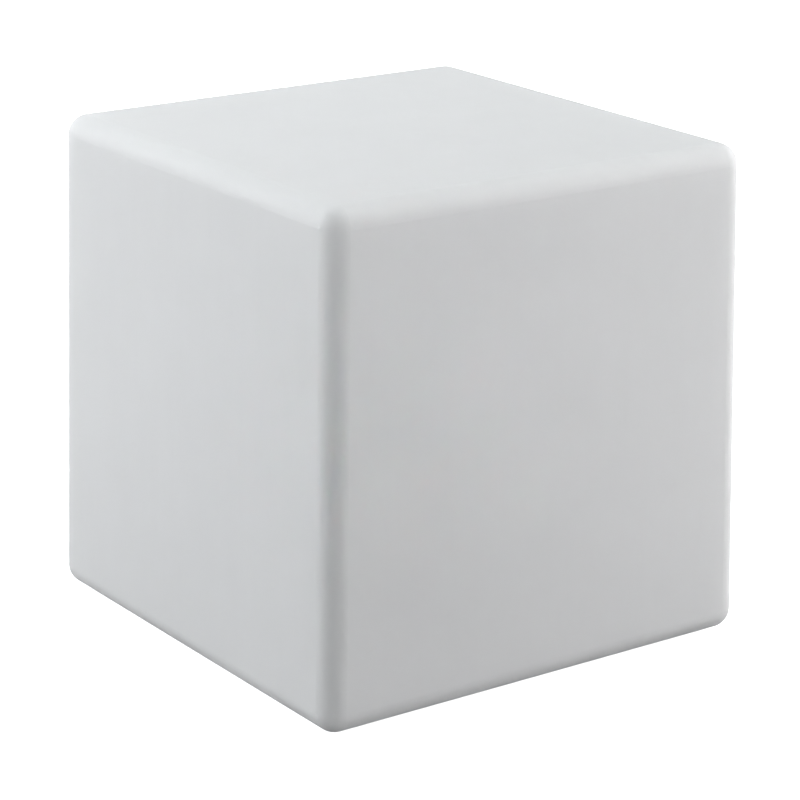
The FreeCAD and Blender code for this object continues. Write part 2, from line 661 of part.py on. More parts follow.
def make_plunger(label, x):
    sunk = "Levels.switch_bottom + 0.4"
    return rod(label, "Sizes.plunger_radius", sunk + " - Levels.plunger_bottom", x,
               "Sizes.button_y", "Levels.plunger_bottom")


def make_switch(label, x):
    case = block(label + "_case", "Sizes.switch_side", "Sizes.switch_side",
                 "Sizes.switch_height", x, "Sizes.button_y", "Levels.switch_bottom")
    well = rod(label + "_well", "Sizes.plunger_radius + Sizes.slide_gap",
               "Sizes.button_travel + 1.6", x, "Sizes.button_y", "Levels.switch_bottom - 1")
    return cut(label, case, [well])


def make_light_pipe():
    pipe = "Sizes.pipe_radius"
    return turned("light_pipe", [
        ("0", "Levels.plate_bottom - 0.3"), (pipe + " - 0.3", "Levels.plate_bottom - 0.3"),
        (pipe, "Levels.plate_bottom"), (pipe, "Levels.plate_top"),
        (pipe + " + 0.9", "Levels.plate_top"), (pipe + " + 0.9", "Levels.plate_top + 1.2"),
        (pipe, "Levels.plate_top + 1.2"), (pipe, "Levels.board_bottom - 2.4"),
        ("0", "Levels.board_bottom - 2.4")], "Sizes.status_x", "Sizes.button_y")


def make_status_led():
    return block("status_led", "3.5", "2.8", "1.9", "Sizes.status_x", "Sizes.button_y",
                 "Levels.board_bottom - 1.9")


# --- control board -------------------------------------------------------------------

def make_control_board():
    sheet = board("control_board_blank", "Sizes.board_width", "Sizes.board_depth",
                  "Sizes.board_thick", "Sizes.board_corner", "Sizes.board_x", "Sizes.board_y",
                  "Levels.board_bottom")
    holes = [rod("board_hole", "Sizes.tiny_radius + Sizes.hole_gap", "Sizes.board_thick + 2",
                 x, y, "Levels.board_bottom - 1") for x, y in standoff_places()]
    return cut("control_board", sheet, holes)


def hanging_screw(label, x, y, seat, radius, length, head_radius, head_height):
    """A pan screw driven from above, its head on level seat."""
    drive = "(%s) * 0.45" % head_radius
    return turned(label, [
        ("0", "-1 * (%s)" % length), ("(%s) * 0.6" % radius, "-1 * (%s)" % length),
        (radius, "0.8 - (%s)" % length), (radius, "0"), (head_radius, "0"),
        (head_radius, "0.6 * " + head_height), (head_radius + " * 0.85", head_height),
        (drive, head_height), (drive, "0.45 * " + head_height), ("0", "0.45 * " + head_height)],
        x, y, seat)


def make_board_screws():
    return group("board_screws", [
        hanging_screw("board_screw_%d" % index, x, y, "Levels.board_top", "Sizes.tiny_radius",
                      "Sizes.tiny_length", "Sizes.tiny_head", "Sizes.tiny_head_height")
        for index, (x, y) in enumerate(standoff_places())])


def on_board(label, width, depth, height, dx, dy, lift="0"):
    """A component on the control board, placed from the board's middle."""
    return block(label, width, depth, height, "Sizes.board_x + (%s)" % dx,
                 "Sizes.board_y + (%s)" % dy, "Levels.board_top + " + lift)


def make_board_parts():
    parts = [on_board("control_chip", "8", "8", "1.2", "0", "-2"),
             on_board("radio_module", "13", "11", "1", "-11.5", "-8"),
             on_board("radio_shield", "9", "9", "2.2", "-13", "-8", "1"),
             on_board("led_header", "12", "5", "Sizes.header_height", "8", "10"),
             on_board("charge_header", "5", "8", "Sizes.header_height", "22", "4")]
    parts.append(block("battery_header", "8", "6", "Sizes.header_height + 2", "Levels.lead_x",
                       "Sizes.board_y + 8", "Levels.board_top"))
    coil = board("power_coil", "10", "10", "4.5", "2.5", "Sizes.board_x + 12",
                 "Sizes.board_y - 2", "Levels.board_top")
    parts.append(coil)
    parts.append(group("drive_transistors", [
        on_board("transistor_%d" % index, "3.5", "3", "1.2", "%g" % (-13 + 4.5 * index), "5")
        for index in range(4)]))
    parts.append(group("filter_capacitors", [
        rod("capacitor_%d" % index, "3.2", "11", "Sizes.board_x + %g" % (7 + 7.5 * index),
            "Sizes.board_y - 12", "Levels.board_top") for index in range(2)]))
    return parts


# --- battery -------------------------------------------------------------------------

def cell_places():
    return [("%d * Levels.cell_pitch / 2" % sx, "Sizes.pack_y + %d * Levels.cell_pitch / 2" % sy)
            for sx in (-1, 1) for sy in (-1, 1)]


def make_cells():
    """Four upright cells, each a rolled can with a crimped neck and a tip."""
    edge, tip = "Sizes.cell_radius", "3"
    top = "Sizes.cell_length"
    profile = [("0", "0"), (edge + " - 0.5", "0"), (edge, "0.5"), (edge, top + " - 5"),
               (edge + " - 0.5", top + " - 4.5"), (edge, top + " - 4"), (edge, top + " - 1.4"),
               (edge + " - 0.6", top + " - 0.8"), (tip, top + " - 0.8"), (tip, top), ("0", top)]
    return [turned("battery_cell_%d" % number, profile, x, y, "Levels.cell_bottom")
            for number, (x, y) in enumerate(cell_places(), 1)]


def link(label, y_side, z):
    return block(label, "Levels.cell_pitch + 6", "Sizes.link_width", "Sizes.link_thick", "0",
                 "Sizes.pack_y + %d * Levels.cell_pitch / 2" % y_side, z)


def make_links():
    """Nickel links, two across the tips and two under the cells."""
    links = [link("link_top_%d" % side, side, "Levels.cell_top") for side in (-1, 1)]
    links += [link("link_foot_%d" % side, side, "Levels.cell_bottom - Sizes.link_thick")
              for side in (-1, 1)]
    return group("cell_links", links)


def pockets(label, bottom, height):
    return [rod(label, "Sizes.cell_radius + Sizes.pocket_gap", height, x, y, bottom)
            for x, y in cell_places()]


def link_slots(label, z, height):
    return [block(label, "Levels.cell_pitch + 8", "Sizes.link_width + 1", height, "0",
                  "Sizes.pack_y + %d * Levels.cell_pitch / 2" % side, z) for side in (-1, 1)]


def make_lower_holder():
    tray = board("tray_blank", "Levels.holder_side", "Levels.holder_side", "Sizes.tray_height",
                 "Sizes.holder_corner", "0", "Sizes.pack_y", "Levels.plate_top")
    cuts = pockets("tray_pocket", "Levels.cell_bottom", "Sizes.tray_height")
    cuts += link_slots("tray_slot", "Levels.cell_bottom - Sizes.link_thick - 0.05", "2")
    cuts.append(rod("tray_hole", "Sizes.pillar_radius + Sizes.hole_gap",
                    "Sizes.tray_height + 2", "0", "Sizes.pack_y", "Levels.plate_top - 1"))
    return cut("cell_holder_lower", tray, cuts)


def make_upper_holder():
    lid = board("lid_blank", "Levels.holder_side", "Levels.holder_side",
                "Levels.lid_top - Levels.lid_bottom", "Sizes.holder_corner", "0",
                "Sizes.pack_y", "Levels.lid_bottom")
    cuts = pockets("lid_pocket", "Levels.lid_bottom - 1", "Sizes.lid_grip + 0.2")
    cuts += link_slots("lid_slot", "Levels.cell_top - 1.2", "Sizes.link_thick + 1.25")
    cuts.append(rod("lid_socket", "Sizes.pillar_radius + Sizes.hole_gap",
                    "Sizes.lid_grip + Sizes.lid_roof", "0", "Sizes.pack_y",
                    "Levels.lid_top - 3.9 - Sizes.lid_grip - Sizes.lid_roof"))
    cuts.append(rod("lid_hole", "Sizes.small_radius + Sizes.hole_gap", "8", "0",
                    "Sizes.pack_y", "Levels.lid_top - 5"))
    return cut("cell_holder_upper", lid, cuts)


def make_tie_screw():
    return hanging_screw("pack_tie_screw", "0", "Sizes.pack_y", "Levels.lid_top",
                         "Sizes.small_radius", "Sizes.small_length - 1", "Sizes.small_head",
                         "Sizes.small_head_height")


def make_guard_board():
    return block("protection_board", "Sizes.guard_thick", "Sizes.guard_width",
                 "Levels.guard_height", "Levels.guard_x", "Sizes.pack_y", "Levels.guard_bottom")


# --- wires ---------------------------------------------------------------------------

def bend_arc(before, corner, after):
    """The arc at a route's corner, as large as its two runs allow, and its radius."""
    into, out = corner - before, after - corner
    turn = into.getAngle(out)
    reach = 0.45 * min(into.Length, out.Length)
    radius = reach / math.tan(turn / 2)
    start = corner - into.normalize() * reach
    end = corner + out.normalize() * reach
    towards = (start + end) * 0.5 - corner
    to_centre = (radius ** 2 + reach ** 2) ** 0.5
    middle = corner + towards.normalize() * (to_centre - radius)
    return start, middle, end, radius


def wire_route(label, rules):
    """Straight runs joined by tangent arcs through the route's points."""
    points = [Vector(*[float(sizes.evalExpression(rule)) for rule in point])
              for point in rules]
    edges = []
    last = points[0]
    for index in range(1, len(points) - 1):
        start, middle, end, radius = bend_arc(*points[index - 1:index + 2])
        print("%s bend radius %.1f" % (label, radius))
        edges.append(Part.LineSegment(last, start).toShape())
        edges.append(Part.Arc(start, middle, end).toShape())
        last = end
    edges.append(Part.LineSegment(last, points[-1]).toShape())
    return Part.Wire(edges), points[0], points[1] - points[0]


def lead(label, radius_name, rules):
    """A round wire along its route. Its volume is compared with section times length."""
    radius = sizes.get(radius_name)
    route, start, heading = wire_route(label, rules)
    ring = Part.Wire([Part.makeCircle(radius, start, heading)])
    tube = route.makePipeShell([ring], True, False)
    expected = math.pi * radius ** 2 * route.Length
    print("%s length %.1f, volume %.4f of section by length" % (label, route.Length,
                                                                tube.Volume / expected))
    obj = doc.addObject("Part::Feature", label)
    obj.Shape = tube
    obj.Placement = FreeCAD.Placement()
    return obj


def make_battery_leads():
    """From the protection board's outer face down and across into the battery header."""
    leads = []
    for label, dy, level in (("battery_lead_red", "-8", "5.6"), ("battery_lead_black", "-4", "3")):
        y_start = "Sizes.pack_y + (%s)" % dy
        y_end = "Sizes.board_y + 11"
        z_run = "Levels.board_top + %s" % level
        leads.append(lead(label, "lead_radius", [
            ("Levels.lead_x", y_start, z_run + " + 20"), ("Levels.lead_x", y_start, z_run),
            ("Levels.lead_x", y_end, z_run)]))
    return leads


def make_charge_leads():
    """From the back of the charge socket up and over into the charge header."""
    leads = []
    for label, dy in (("charge_lead_red", "-1.2"), ("charge_lead_black", "1.2")):
        y = "Sizes.socket_y + (%s)" % dy
        high = "Levels.header_top + 11"
        leads.append(lead(label, "lead_radius", [
            ("Sizes.socket_x", y, "Levels.socket_top"), ("Sizes.socket_x", y, high),
            ("Sizes.board_x + 22", y, high), ("Sizes.board_x + 22", y, "Levels.header_top")]))
    return leads


def make_harness():
    """From the lamp header straight up, over to the deck's hole and into the connector."""
    x_low, y_low = "Sizes.board_x + 8", "Sizes.board_y + 10"
    x_high, y_high = "0", "Sizes.harness_y"
    return lead("led_harness", "harness_radius", [
        (x_low, y_low, "Levels.header_top"), (x_low, y_low, "Levels.header_top + 20"),
        (x_high, y_high, "Levels.can_top - 16"), (x_high, y_high, "Levels.lamp_board_top")])


# --- deck, lamps and dome ------------------------------------------------------------

def make_heat_spreader():
    disc = rod("deck_disc", "Sizes.can_radius", "Sizes.deck_thick", z="Levels.can_top")
    low = "Levels.can_top - 1"
    tall = "Sizes.deck_thick + 2"
    holes = [rod("deck_hole", "Sizes.small_radius + Sizes.hole_gap", tall, x, y, low)
             for x, y in deck_places()]
    holes.append(rod("deck_harness_hole", "Sizes.harness_hole", tall, "0", "Sizes.harness_y",
                     low))
    for index in range(3):
        x, y = on_circle("Sizes.lamp_screw_circle", index, "3", 90)
        holes.append(rod("deck_tap", "Sizes.tiny_radius + Sizes.snug_gap", tall, x, y, low))
    return cut("heat_spreader", disc, holes)


def make_lamp_board():
    disc = rod("lamp_board_disc", "Sizes.lamp_board_radius", "Sizes.board_thick",
               z="Levels.deck_top")
    low = "Levels.deck_top - 1"
    tall = "Sizes.board_thick + 2"
    holes = [rod("lamp_board_harness_hole", "Sizes.harness_hole", tall, "0",
                 "Sizes.harness_y", low)]
    for index in range(3):
        x, y = on_circle("Sizes.lamp_screw_circle", index, "3", 90)
        holes.append(rod("lamp_board_hole", "Sizes.tiny_radius + Sizes.hole_gap", tall, x, y,
                         low))
    return cut("led_board", disc, holes)


def make_lamp_screws():
    screws = []
    for index in range(3):
        x, y = on_circle("Sizes.lamp_screw_circle", index, "3", 90)
        screws.append(hanging_screw("lamp_screw_%d" % index, x, y, "Levels.lamp_board_top",
                                    "Sizes.tiny_radius", "Sizes.lamp_screw_length",
                                    "Sizes.tiny_head", "Sizes.tiny_head_height"))
    return group("led_board_screws", screws)


def lamp_ring(label, circle, count_name, width, depth, height, start):
    lamps = []
    for index in range(int(sizes.get(count_name))):
        x, y = on_circle(circle, index, "Sizes." + count_name, start)
        lamps.append(block("%s_%d" % (label, index), width, depth, height, x, y,
                           "Levels.lamp_board_top"))
    return group(label, lamps)


def make_lamps():
    return [lamp_ring("colour_leds", "Sizes.colour_ring", "colour_count", "5", "5", "1.6", 15),
            lamp_ring("warm_white_leds", "Sizes.warm_ring", "warm_count", "3.5", "2.8", "0.8", 18),
            lamp_ring("cool_white_leds", "Sizes.cool_ring", "cool_count", "3.5", "2.8", "0.8", 0)]


def make_lamp_connector():
    return block("led_connector", "12", "9", "5", "0", "Sizes.harness_y",
                 "Levels.lamp_board_top")


def make_dome_seal():
    inner, outer = "Sizes.lamp_board_radius + 1", "Sizes.can_radius - 0.5"
    ring = turned("dome_seal_ring", [
        (inner, "0"), (outer, "0"), (outer, "Sizes.dome_seal_thick"),
        (inner, "Sizes.dome_seal_thick")], z="Levels.deck_top")
    holes = [rod("dome_seal_hole", "Sizes.small_radius + Sizes.hole_gap",
                 "Sizes.dome_seal_thick + 2", x, y, "Levels.deck_top - 1")
             for x, y in deck_places()]
    return cut("dome_seal", ring, holes)


def ring_edges(shape, radius, level):
    """Names of the round edges of one radius at one height."""
    names = []
    for number, edge in enumerate(shape.Edges, 1):
        box = edge.BoundBox
        flat = box.ZLength < 1e-6 and abs(box.ZMin - level) < 1e-6
        if flat and abs(box.XMax - radius) < 1e-3:
            names.append("Edge%d" % number)
    return names


def make_dome():
    """A clear frosted cover: flange, straight wall and a widely rounded top."""
    dome = turned("dome_form", [
        ("Levels.dome_bore", "Levels.dome_flange_bottom"),
        ("Sizes.can_radius", "Levels.dome_flange_bottom"),
        ("Sizes.can_radius", "Levels.dome_flange_top"),
        ("Sizes.dome_radius", "Levels.dome_flange_top"), ("Sizes.dome_radius", "Levels.dome_top"),
        ("0", "Levels.dome_top"), ("0", "Levels.dome_top - Sizes.dome_wall"),
        ("Levels.dome_bore", "Levels.dome_top - Sizes.dome_wall")])
    doc.recompute()
    base = dome.Tip
    outside = dome.newObject("PartDesign::Fillet", "dome_outer_shoulder")
    outside.Base = (base, ring_edges(base.Shape, sizes.dome_radius, levels.dome_top))
    outside.setExpression("Radius", "Sizes.dome_round")
    doc.recompute()
    inside = dome.newObject("PartDesign::Fillet", "dome_inner_shoulder")
    edges = ring_edges(outside.Shape, levels.dome_bore, levels.dome_top - sizes.dome_wall)
    inside.Base = (outside, edges)
    inside.setExpression("Radius", "Sizes.dome_round - Sizes.dome_wall")
    doc.recompute()
    holes = [rod("dome_hole", "Sizes.small_radius + Sizes.hole_gap",
                 "Sizes.dome_flange_thick + 2", x, y, "Levels.dome_flange_bottom - 1")
             for x, y in deck_places()]
    return cut("diffuser_dome", dome, holes)


def make_deck_screws():
    return group("deck_screws", [
        hanging_screw("deck_screw_%d" % index, x, y, "Levels.dome_flange_top",
                      "Sizes.small_radius", "Sizes.small_length", "Sizes.small_head",
                      "Sizes.small_head_height") for index, (x, y) in enumerate(deck_places())])


# --- the whole light -----------------------------------------------------------------

def make_all():
    nodes = [make_shell(), make_inserts(), make_gasket(), make_housing(), make_base_screws(),
             make_washers(), make_vent_plug(), make_socket(), make_socket_nut(),
             make_socket_seal(), make_port_cap(), make_hinge_pin()]
    nodes += make_feet()
    for name, x in (("power", "Sizes.power_x"), ("mode", "Sizes.mode_x")):
        nodes.append(make_button(name + "_button", x))
        nodes.append(make_plunger(name + "_plunger", x))
        nodes.append(make_switch(name + "_switch", x))
    nodes += [make_light_pipe(), make_status_led(), make_control_board(), make_board_screws()]
    nodes += make_board_parts()
    nodes += make_cells()
    nodes += [make_links(), make_lower_holder(), make_upper_holder(), make_tie_screw(),
              make_guard_board()]
    nodes += make_battery_leads()
    nodes += make_charge_leads()
    nodes += [make_harness(), make_heat_spreader(), make_lamp_board(), make_lamp_screws()]
    nodes += make_lamps()
    nodes += [make_lamp_connector(), make_dome_seal(), make_dome(), make_deck_screws()]
    return nodes


def check(nodes):
    for obj in doc.Objects:
        if "Invalid" in obj.State or "Error" in obj.State:
            raise RuntimeError("%s is %s" % (obj.Label, obj.State))
    for node in nodes:
        if node.Shape.isNull() or not node.Shape.isValid() or not node.Shape.Solids:
            raise RuntimeError("%s has no valid solid" % node.Label)


def write(nodes):
    os.makedirs("parts", exist_ok=True)
    for node in nodes:
        node.Shape.exportStep("parts/%s.step" % node.Label)
    print("%d sub-parts written" % len(nodes))


all_nodes = make_all()
doc.recompute()
check(all_nodes)
write(all_nodes)
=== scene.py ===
import json
import math
import bmesh
import bpy
from mathutils import Matrix, Vector


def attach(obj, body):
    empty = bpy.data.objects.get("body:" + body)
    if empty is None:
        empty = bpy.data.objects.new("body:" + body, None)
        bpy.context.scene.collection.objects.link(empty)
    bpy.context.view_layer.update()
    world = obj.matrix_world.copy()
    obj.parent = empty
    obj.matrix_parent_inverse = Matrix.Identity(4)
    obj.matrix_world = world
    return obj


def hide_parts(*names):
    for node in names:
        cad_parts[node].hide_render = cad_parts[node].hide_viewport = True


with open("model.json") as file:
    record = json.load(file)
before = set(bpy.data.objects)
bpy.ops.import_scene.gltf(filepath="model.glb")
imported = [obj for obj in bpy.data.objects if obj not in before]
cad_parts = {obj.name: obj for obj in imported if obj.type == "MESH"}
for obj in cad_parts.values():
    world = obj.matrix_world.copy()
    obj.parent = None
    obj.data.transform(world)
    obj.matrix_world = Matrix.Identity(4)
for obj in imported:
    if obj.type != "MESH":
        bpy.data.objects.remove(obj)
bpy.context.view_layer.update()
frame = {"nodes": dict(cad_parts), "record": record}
nodes = frame["nodes"]
print("frame loaded:", len(nodes), "nodes")


# colours are written as sRGB hex and used as linear light
def linear(hexColour):
    channels = [int(hexColour[i:i + 2], 16) / 255 for i in (1, 3, 5)]
    return (*[c / 12.92 if c <= 0.04045 else ((c + 0.055) / 1.055) ** 2.4 for c in channels], 1.0)


# adds one node: settings are properties or unlinked sockets, links are socket: source
def addNode(tree, kind, settings=None, links=None):
    node = tree.nodes.new(kind)
    for name, value in (settings or {}).items():
        if not isinstance(name, int) and hasattr(node, name):
            setattr(node, name, value)
        else:
            node.inputs[name].default_value = value
    for name, source in (links or {}).items():
        tree.links.new(source, node.inputs[name])
    return node


def newMaterial(name):
    material = bpy.data.materials.new(name)
    material.use_nodes = True
    tree = material.node_tree
    tree.nodes.clear()
    place = addNode(tree, "ShaderNodeTexCoord")
    return material, tree, place.outputs["Object"]


# a pattern size in millimetres becomes a texture scale per metre
def perMillimetre(size):
    return 1000 / size


cameraFit = {
    "place": (-0.9857, -1.3865, 0.6807),   # from a fit of the cube's outline in the 800 x 800 picture
    "yaw": -35.512,        # degrees about Z from looking along +Y
    "pitch": 17.813,       # degrees down
    "roll": 0.507,
    "focalPixels": 2953.4,
    "imagePixels": 800,
    "sensor": 36,          # mm
    "clipStart": 0.05,
    "clipEnd": 50,
}


def makeCamera():
    yaw, pitch, roll = (math.radians(cameraFit[k]) for k in ("yaw", "pitch", "roll"))
    forward = Vector((-math.sin(yaw) * math.cos(pitch), math.cos(yaw) * math.cos(pitch),
                      -math.sin(pitch)))
    right = forward.cross(Vector((0, 0, 1))).normalized()
    up = right.cross(forward)
    tiltedRight = math.cos(roll) * right + math.sin(roll) * up
    tiltedUp = math.cos(roll) * up - math.sin(roll) * right
    data = bpy.data.cameras.new("photoCamera")
    data.sensor_width = cameraFit["sensor"]
    data.lens = data.sensor_width * cameraFit["focalPixels"] / cameraFit["imagePixels"]
    data.clip_start = cameraFit["clipStart"]
    data.clip_end = cameraFit["clipEnd"]
    camera = bpy.data.objects.new("photoCamera", data)
    turn = Matrix((tiltedRight, tiltedUp, -forward)).transposed().to_4x4()
    camera.matrix_world = Matrix.Translation(cameraFit["place"]) @ turn
    bpy.context.scene.collection.objects.link(camera)
    bpy.context.scene.camera = camera


makeCamera()
print("camera made")

studio = {
    "floorSize": 12.0,
    "floorColour": "#F4F4F4",
    "floorSecondColour": "#F8F8F8",
    "fibreSize": 40,               # mm, faint clouds in the paper
    "floorGlow": 0.90,             # the paper is lit from below, so it shows white
    "airColour": "#FAFBFD",
    "airStrength": 0.33,           # what lights the cube; the camera sees plain white
    "aimHeight": 0.15,
    "boxes": {                     # place, side, watts, colour; aimed at the cube's middle
        "topBox": ((0.0, 0.2, 1.9), 1.6, 20.2, "#F3F9FA"),
        "leftFarBox": ((-1.3, 1.5, 0.6), 1.2, 32.6, "#F7FAFC"),
        "leftBox": ((-1.9, 0.2, 0.6), 1.2, 11.6, "#F7FAFC"),
        "rightBox": ((1.9, -0.2, 0.6), 1.2, 22.0, "#FFFFFF"),
        "rightFrontBox": ((1.4, -1.3, 0.6), 1.2, 32.0, "#FFFFFF"),
        "backBox": ((0.3, 1.9, 0.6), 1.2, 15.8, "#FAFCFF"),
    },
}


# the floor shows as white paper from above; from below, and to light itself, it is open
def floorMaterial():
    material, tree, place = newMaterial("paper floor, matte, lit from below")
    fibres = addNode(tree, "ShaderNodeTexNoise", {
        "Scale": perMillimetre(studio["fibreSize"]), "Detail": 2.0}, {"Vector": place})
    tone = addNode(tree, "ShaderNodeMix", {
        "data_type": "RGBA", 6: linear(studio["floorColour"]),
        7: linear(studio["floorSecondColour"])}, {0: fibres.outputs["Fac"]})
    paper = addNode(tree, "ShaderNodeBsdfDiffuse", links={"Color": tone.outputs[2]})
    glow = addNode(tree, "ShaderNodeEmission", {"Strength": studio["floorGlow"]})
    both = addNode(tree, "ShaderNodeAddShader", links={0: paper.outputs[0], 1: glow.outputs[0]})
    path = addNode(tree, "ShaderNodeLightPath")
    side = addNode(tree, "ShaderNodeNewGeometry")
    above = addNode(tree, "ShaderNodeMath", {"operation": "SUBTRACT", 0: 1.0},
                    {1: side.outputs["Backfacing"]})
    shown = addNode(tree, "ShaderNodeMath", {"operation": "MULTIPLY"},
                    {0: path.outputs["Is Camera Ray"], 1: above.outputs[0]})
    clear = addNode(tree, "ShaderNodeBsdfTransparent")
    mixed = addNode(tree, "ShaderNodeMixShader", links={
        0: shown.outputs[0], 1: clear.outputs[0], 2: both.outputs[0]})
    addNode(tree, "ShaderNodeOutputMaterial", links={"Surface": mixed.outputs[0]})
    return material


def makeStudio():
    scene = bpy.context.scene
    scene.view_settings.view_transform = "Standard"
    bpy.ops.mesh.primitive_plane_add(size=studio["floorSize"])
    floor = bpy.context.object
    floor.name = "studioFloor"
    floor.data.materials.append(floorMaterial())
    world = bpy.data.worlds.new("studioAir")
    world.use_nodes = True
    air = world.node_tree
    air.nodes.clear()
    light = addNode(air, "ShaderNodeBackground", {"Color": linear(studio["airColour"]),
                                                  "Strength": studio["airStrength"]})
    seen = addNode(air, "ShaderNodeBackground", {"Color": (1, 1, 1, 1), "Strength": 1.0})
    path = addNode(air, "ShaderNodeLightPath")
    mixed = addNode(air, "ShaderNodeMixShader", links={
        0: path.outputs["Is Camera Ray"], 1: light.outputs[0], 2: seen.outputs[0]})
    addNode(air, "ShaderNodeOutputWorld", links={"Surface": mixed.outputs[0]})
    scene.world = world
    for name, (place, side, watts, colour) in studio["boxes"].items():
        data = bpy.data.lights.new(name, "AREA")
        data.color = linear(colour)[:3]
        data.shape = "RECTANGLE"
        data.size = data.size_y = side
        data.energy = watts
        box = bpy.data.objects.new(name, data)
        aim = Vector(place) - Vector((0, 0, studio["aimHeight"]))
        box.matrix_world = Matrix.Translation(place) @ aim.to_track_quat("Z", "Y").to_matrix().to_4x4()
        scene.collection.objects.link(box)


makeStudio()
print("studio made")


def dress(material, *names):
    for name in names:
        nodes[name].data.materials.clear()
        nodes[name].data.materials.append(material)


shellLook = {
    "colour": "#F3F3F3",
    "thinColour": "#ECECEC",
    "freePath": 0.009,           # metres that light goes between scatterings
    "through": 0.5,              # share of the light that goes on into the cube
    "cloudSize": 60,             # mm, slow change of the wall's thickness
    "pullSize": (9, 9, 90),      # mm, faint upright drift of the melt in the mould
    "grainSize": 0.9,            # mm, the mould's blasted grain, drawn coarse so that it shows
    "grainDepth": 0.00003,
    "grainStrength": 0.35,
    "driftShare": 0.3,           # of the colour change that the upright drift makes
    "ior": 1.51,
    "roughness": 0.68,
    "gloss": 0.25,               # half the usual shine, so that the top doesn't glare at low angles
}


# natural polyethylene: light goes into the wall, so faces look waxy and edges soft
def shellMaterial():
    material, tree, place = newMaterial("natural polyethylene, rotomoulded, blasted mould")
    clouds = addNode(tree, "ShaderNodeTexNoise", {
        "Scale": perMillimetre(shellLook["cloudSize"]), "Detail": 2.0}, {"Vector": place})
    stretch = addNode(tree, "ShaderNodeMapping", {
        "Scale": tuple(perMillimetre(s) for s in shellLook["pullSize"])}, {"Vector": place})
    pull = addNode(tree, "ShaderNodeTexNoise", {"Scale": 1.0, "Detail": 2.0},
                   {"Vector": stretch.outputs[0]})
    drift = addNode(tree, "ShaderNodeMix", {"data_type": "FLOAT", 0: shellLook["driftShare"]},
                    {2: clouds.outputs["Fac"], 3: pull.outputs["Fac"]})
    colour = addNode(tree, "ShaderNodeMix", {"data_type": "RGBA", 6: linear(shellLook["colour"]),
                                             7: linear(shellLook["thinColour"])},
                     {0: drift.outputs[0]})
    grain = addNode(tree, "ShaderNodeTexNoise", {
        "Scale": perMillimetre(shellLook["grainSize"]), "Detail": 3.0}, {"Vector": place})
    bump = addNode(tree, "ShaderNodeBump", {
        "Strength": shellLook["grainStrength"], "Distance": shellLook["grainDepth"]},
        {"Height": grain.outputs["Fac"]})
    surface = addNode(tree, "ShaderNodeBsdfPrincipled", {
        "Roughness": shellLook["roughness"], "IOR": shellLook["ior"],
        "Specular IOR Level": shellLook["gloss"], "Subsurface Weight": 1.0,
        "Subsurface Radius": (1.0, 1.0, 1.0), "Subsurface Scale": shellLook["freePath"],
        "Transmission Weight": shellLook["through"]},
        {"Base Color": colour.outputs[2], "Normal": bump.outputs[0]})
    addNode(tree, "ShaderNodeOutputMaterial", links={"Surface": surface.outputs[0]})
    return material


dress(shellMaterial(), "shell")
print("shell dressed")


grainStrength = 0.5              # of the bump in every plain look


# one surface from a look: two close colours in clouds, and a fine grain for bump and gloss
def patternedMaterial(look):
    material, tree, place = newMaterial(look["name"])
    stretch = addNode(tree, "ShaderNodeMapping", {"Scale": look.get("stretch", (1, 1, 1))},
                      {"Vector": place})
    clouds = addNode(tree, "ShaderNodeTexNoise", {
        "Scale": perMillimetre(look["cloudSize"]), "Detail": 3.0}, {"Vector": place})
    colour = addNode(tree, "ShaderNodeMix", {
        "data_type": "RGBA", 6: linear(look["colour"]), 7: linear(look["secondColour"])},
        {0: clouds.outputs["Fac"]})
    grain = addNode(tree, "ShaderNodeTexNoise", {
        "Scale": perMillimetre(look["grainSize"]), "Detail": 4.0}, {"Vector": stretch.outputs[0]})
    gloss = addNode(tree, "ShaderNodeMapRange", {
        "To Min": look["roughness"][0], "To Max": look["roughness"][1]},
        {"Value": grain.outputs["Fac"]})
    bump = addNode(tree, "ShaderNodeBump", {
        "Strength": grainStrength, "Distance": look["grainDepth"]},
        {"Height": grain.outputs["Fac"]})
    settings = {"Metallic": look.get("metallic", 0.0)}
    settings.update(look.get("sockets", {}))
    surface = addNode(tree, "ShaderNodeBsdfPrincipled", settings, {
        "Base Color": colour.outputs[2], "Roughness": gloss.outputs[0],
        "Normal": bump.outputs[0]})
    addNode(tree, "ShaderNodeOutputMaterial", links={"Surface": surface.outputs[0]})
    return material


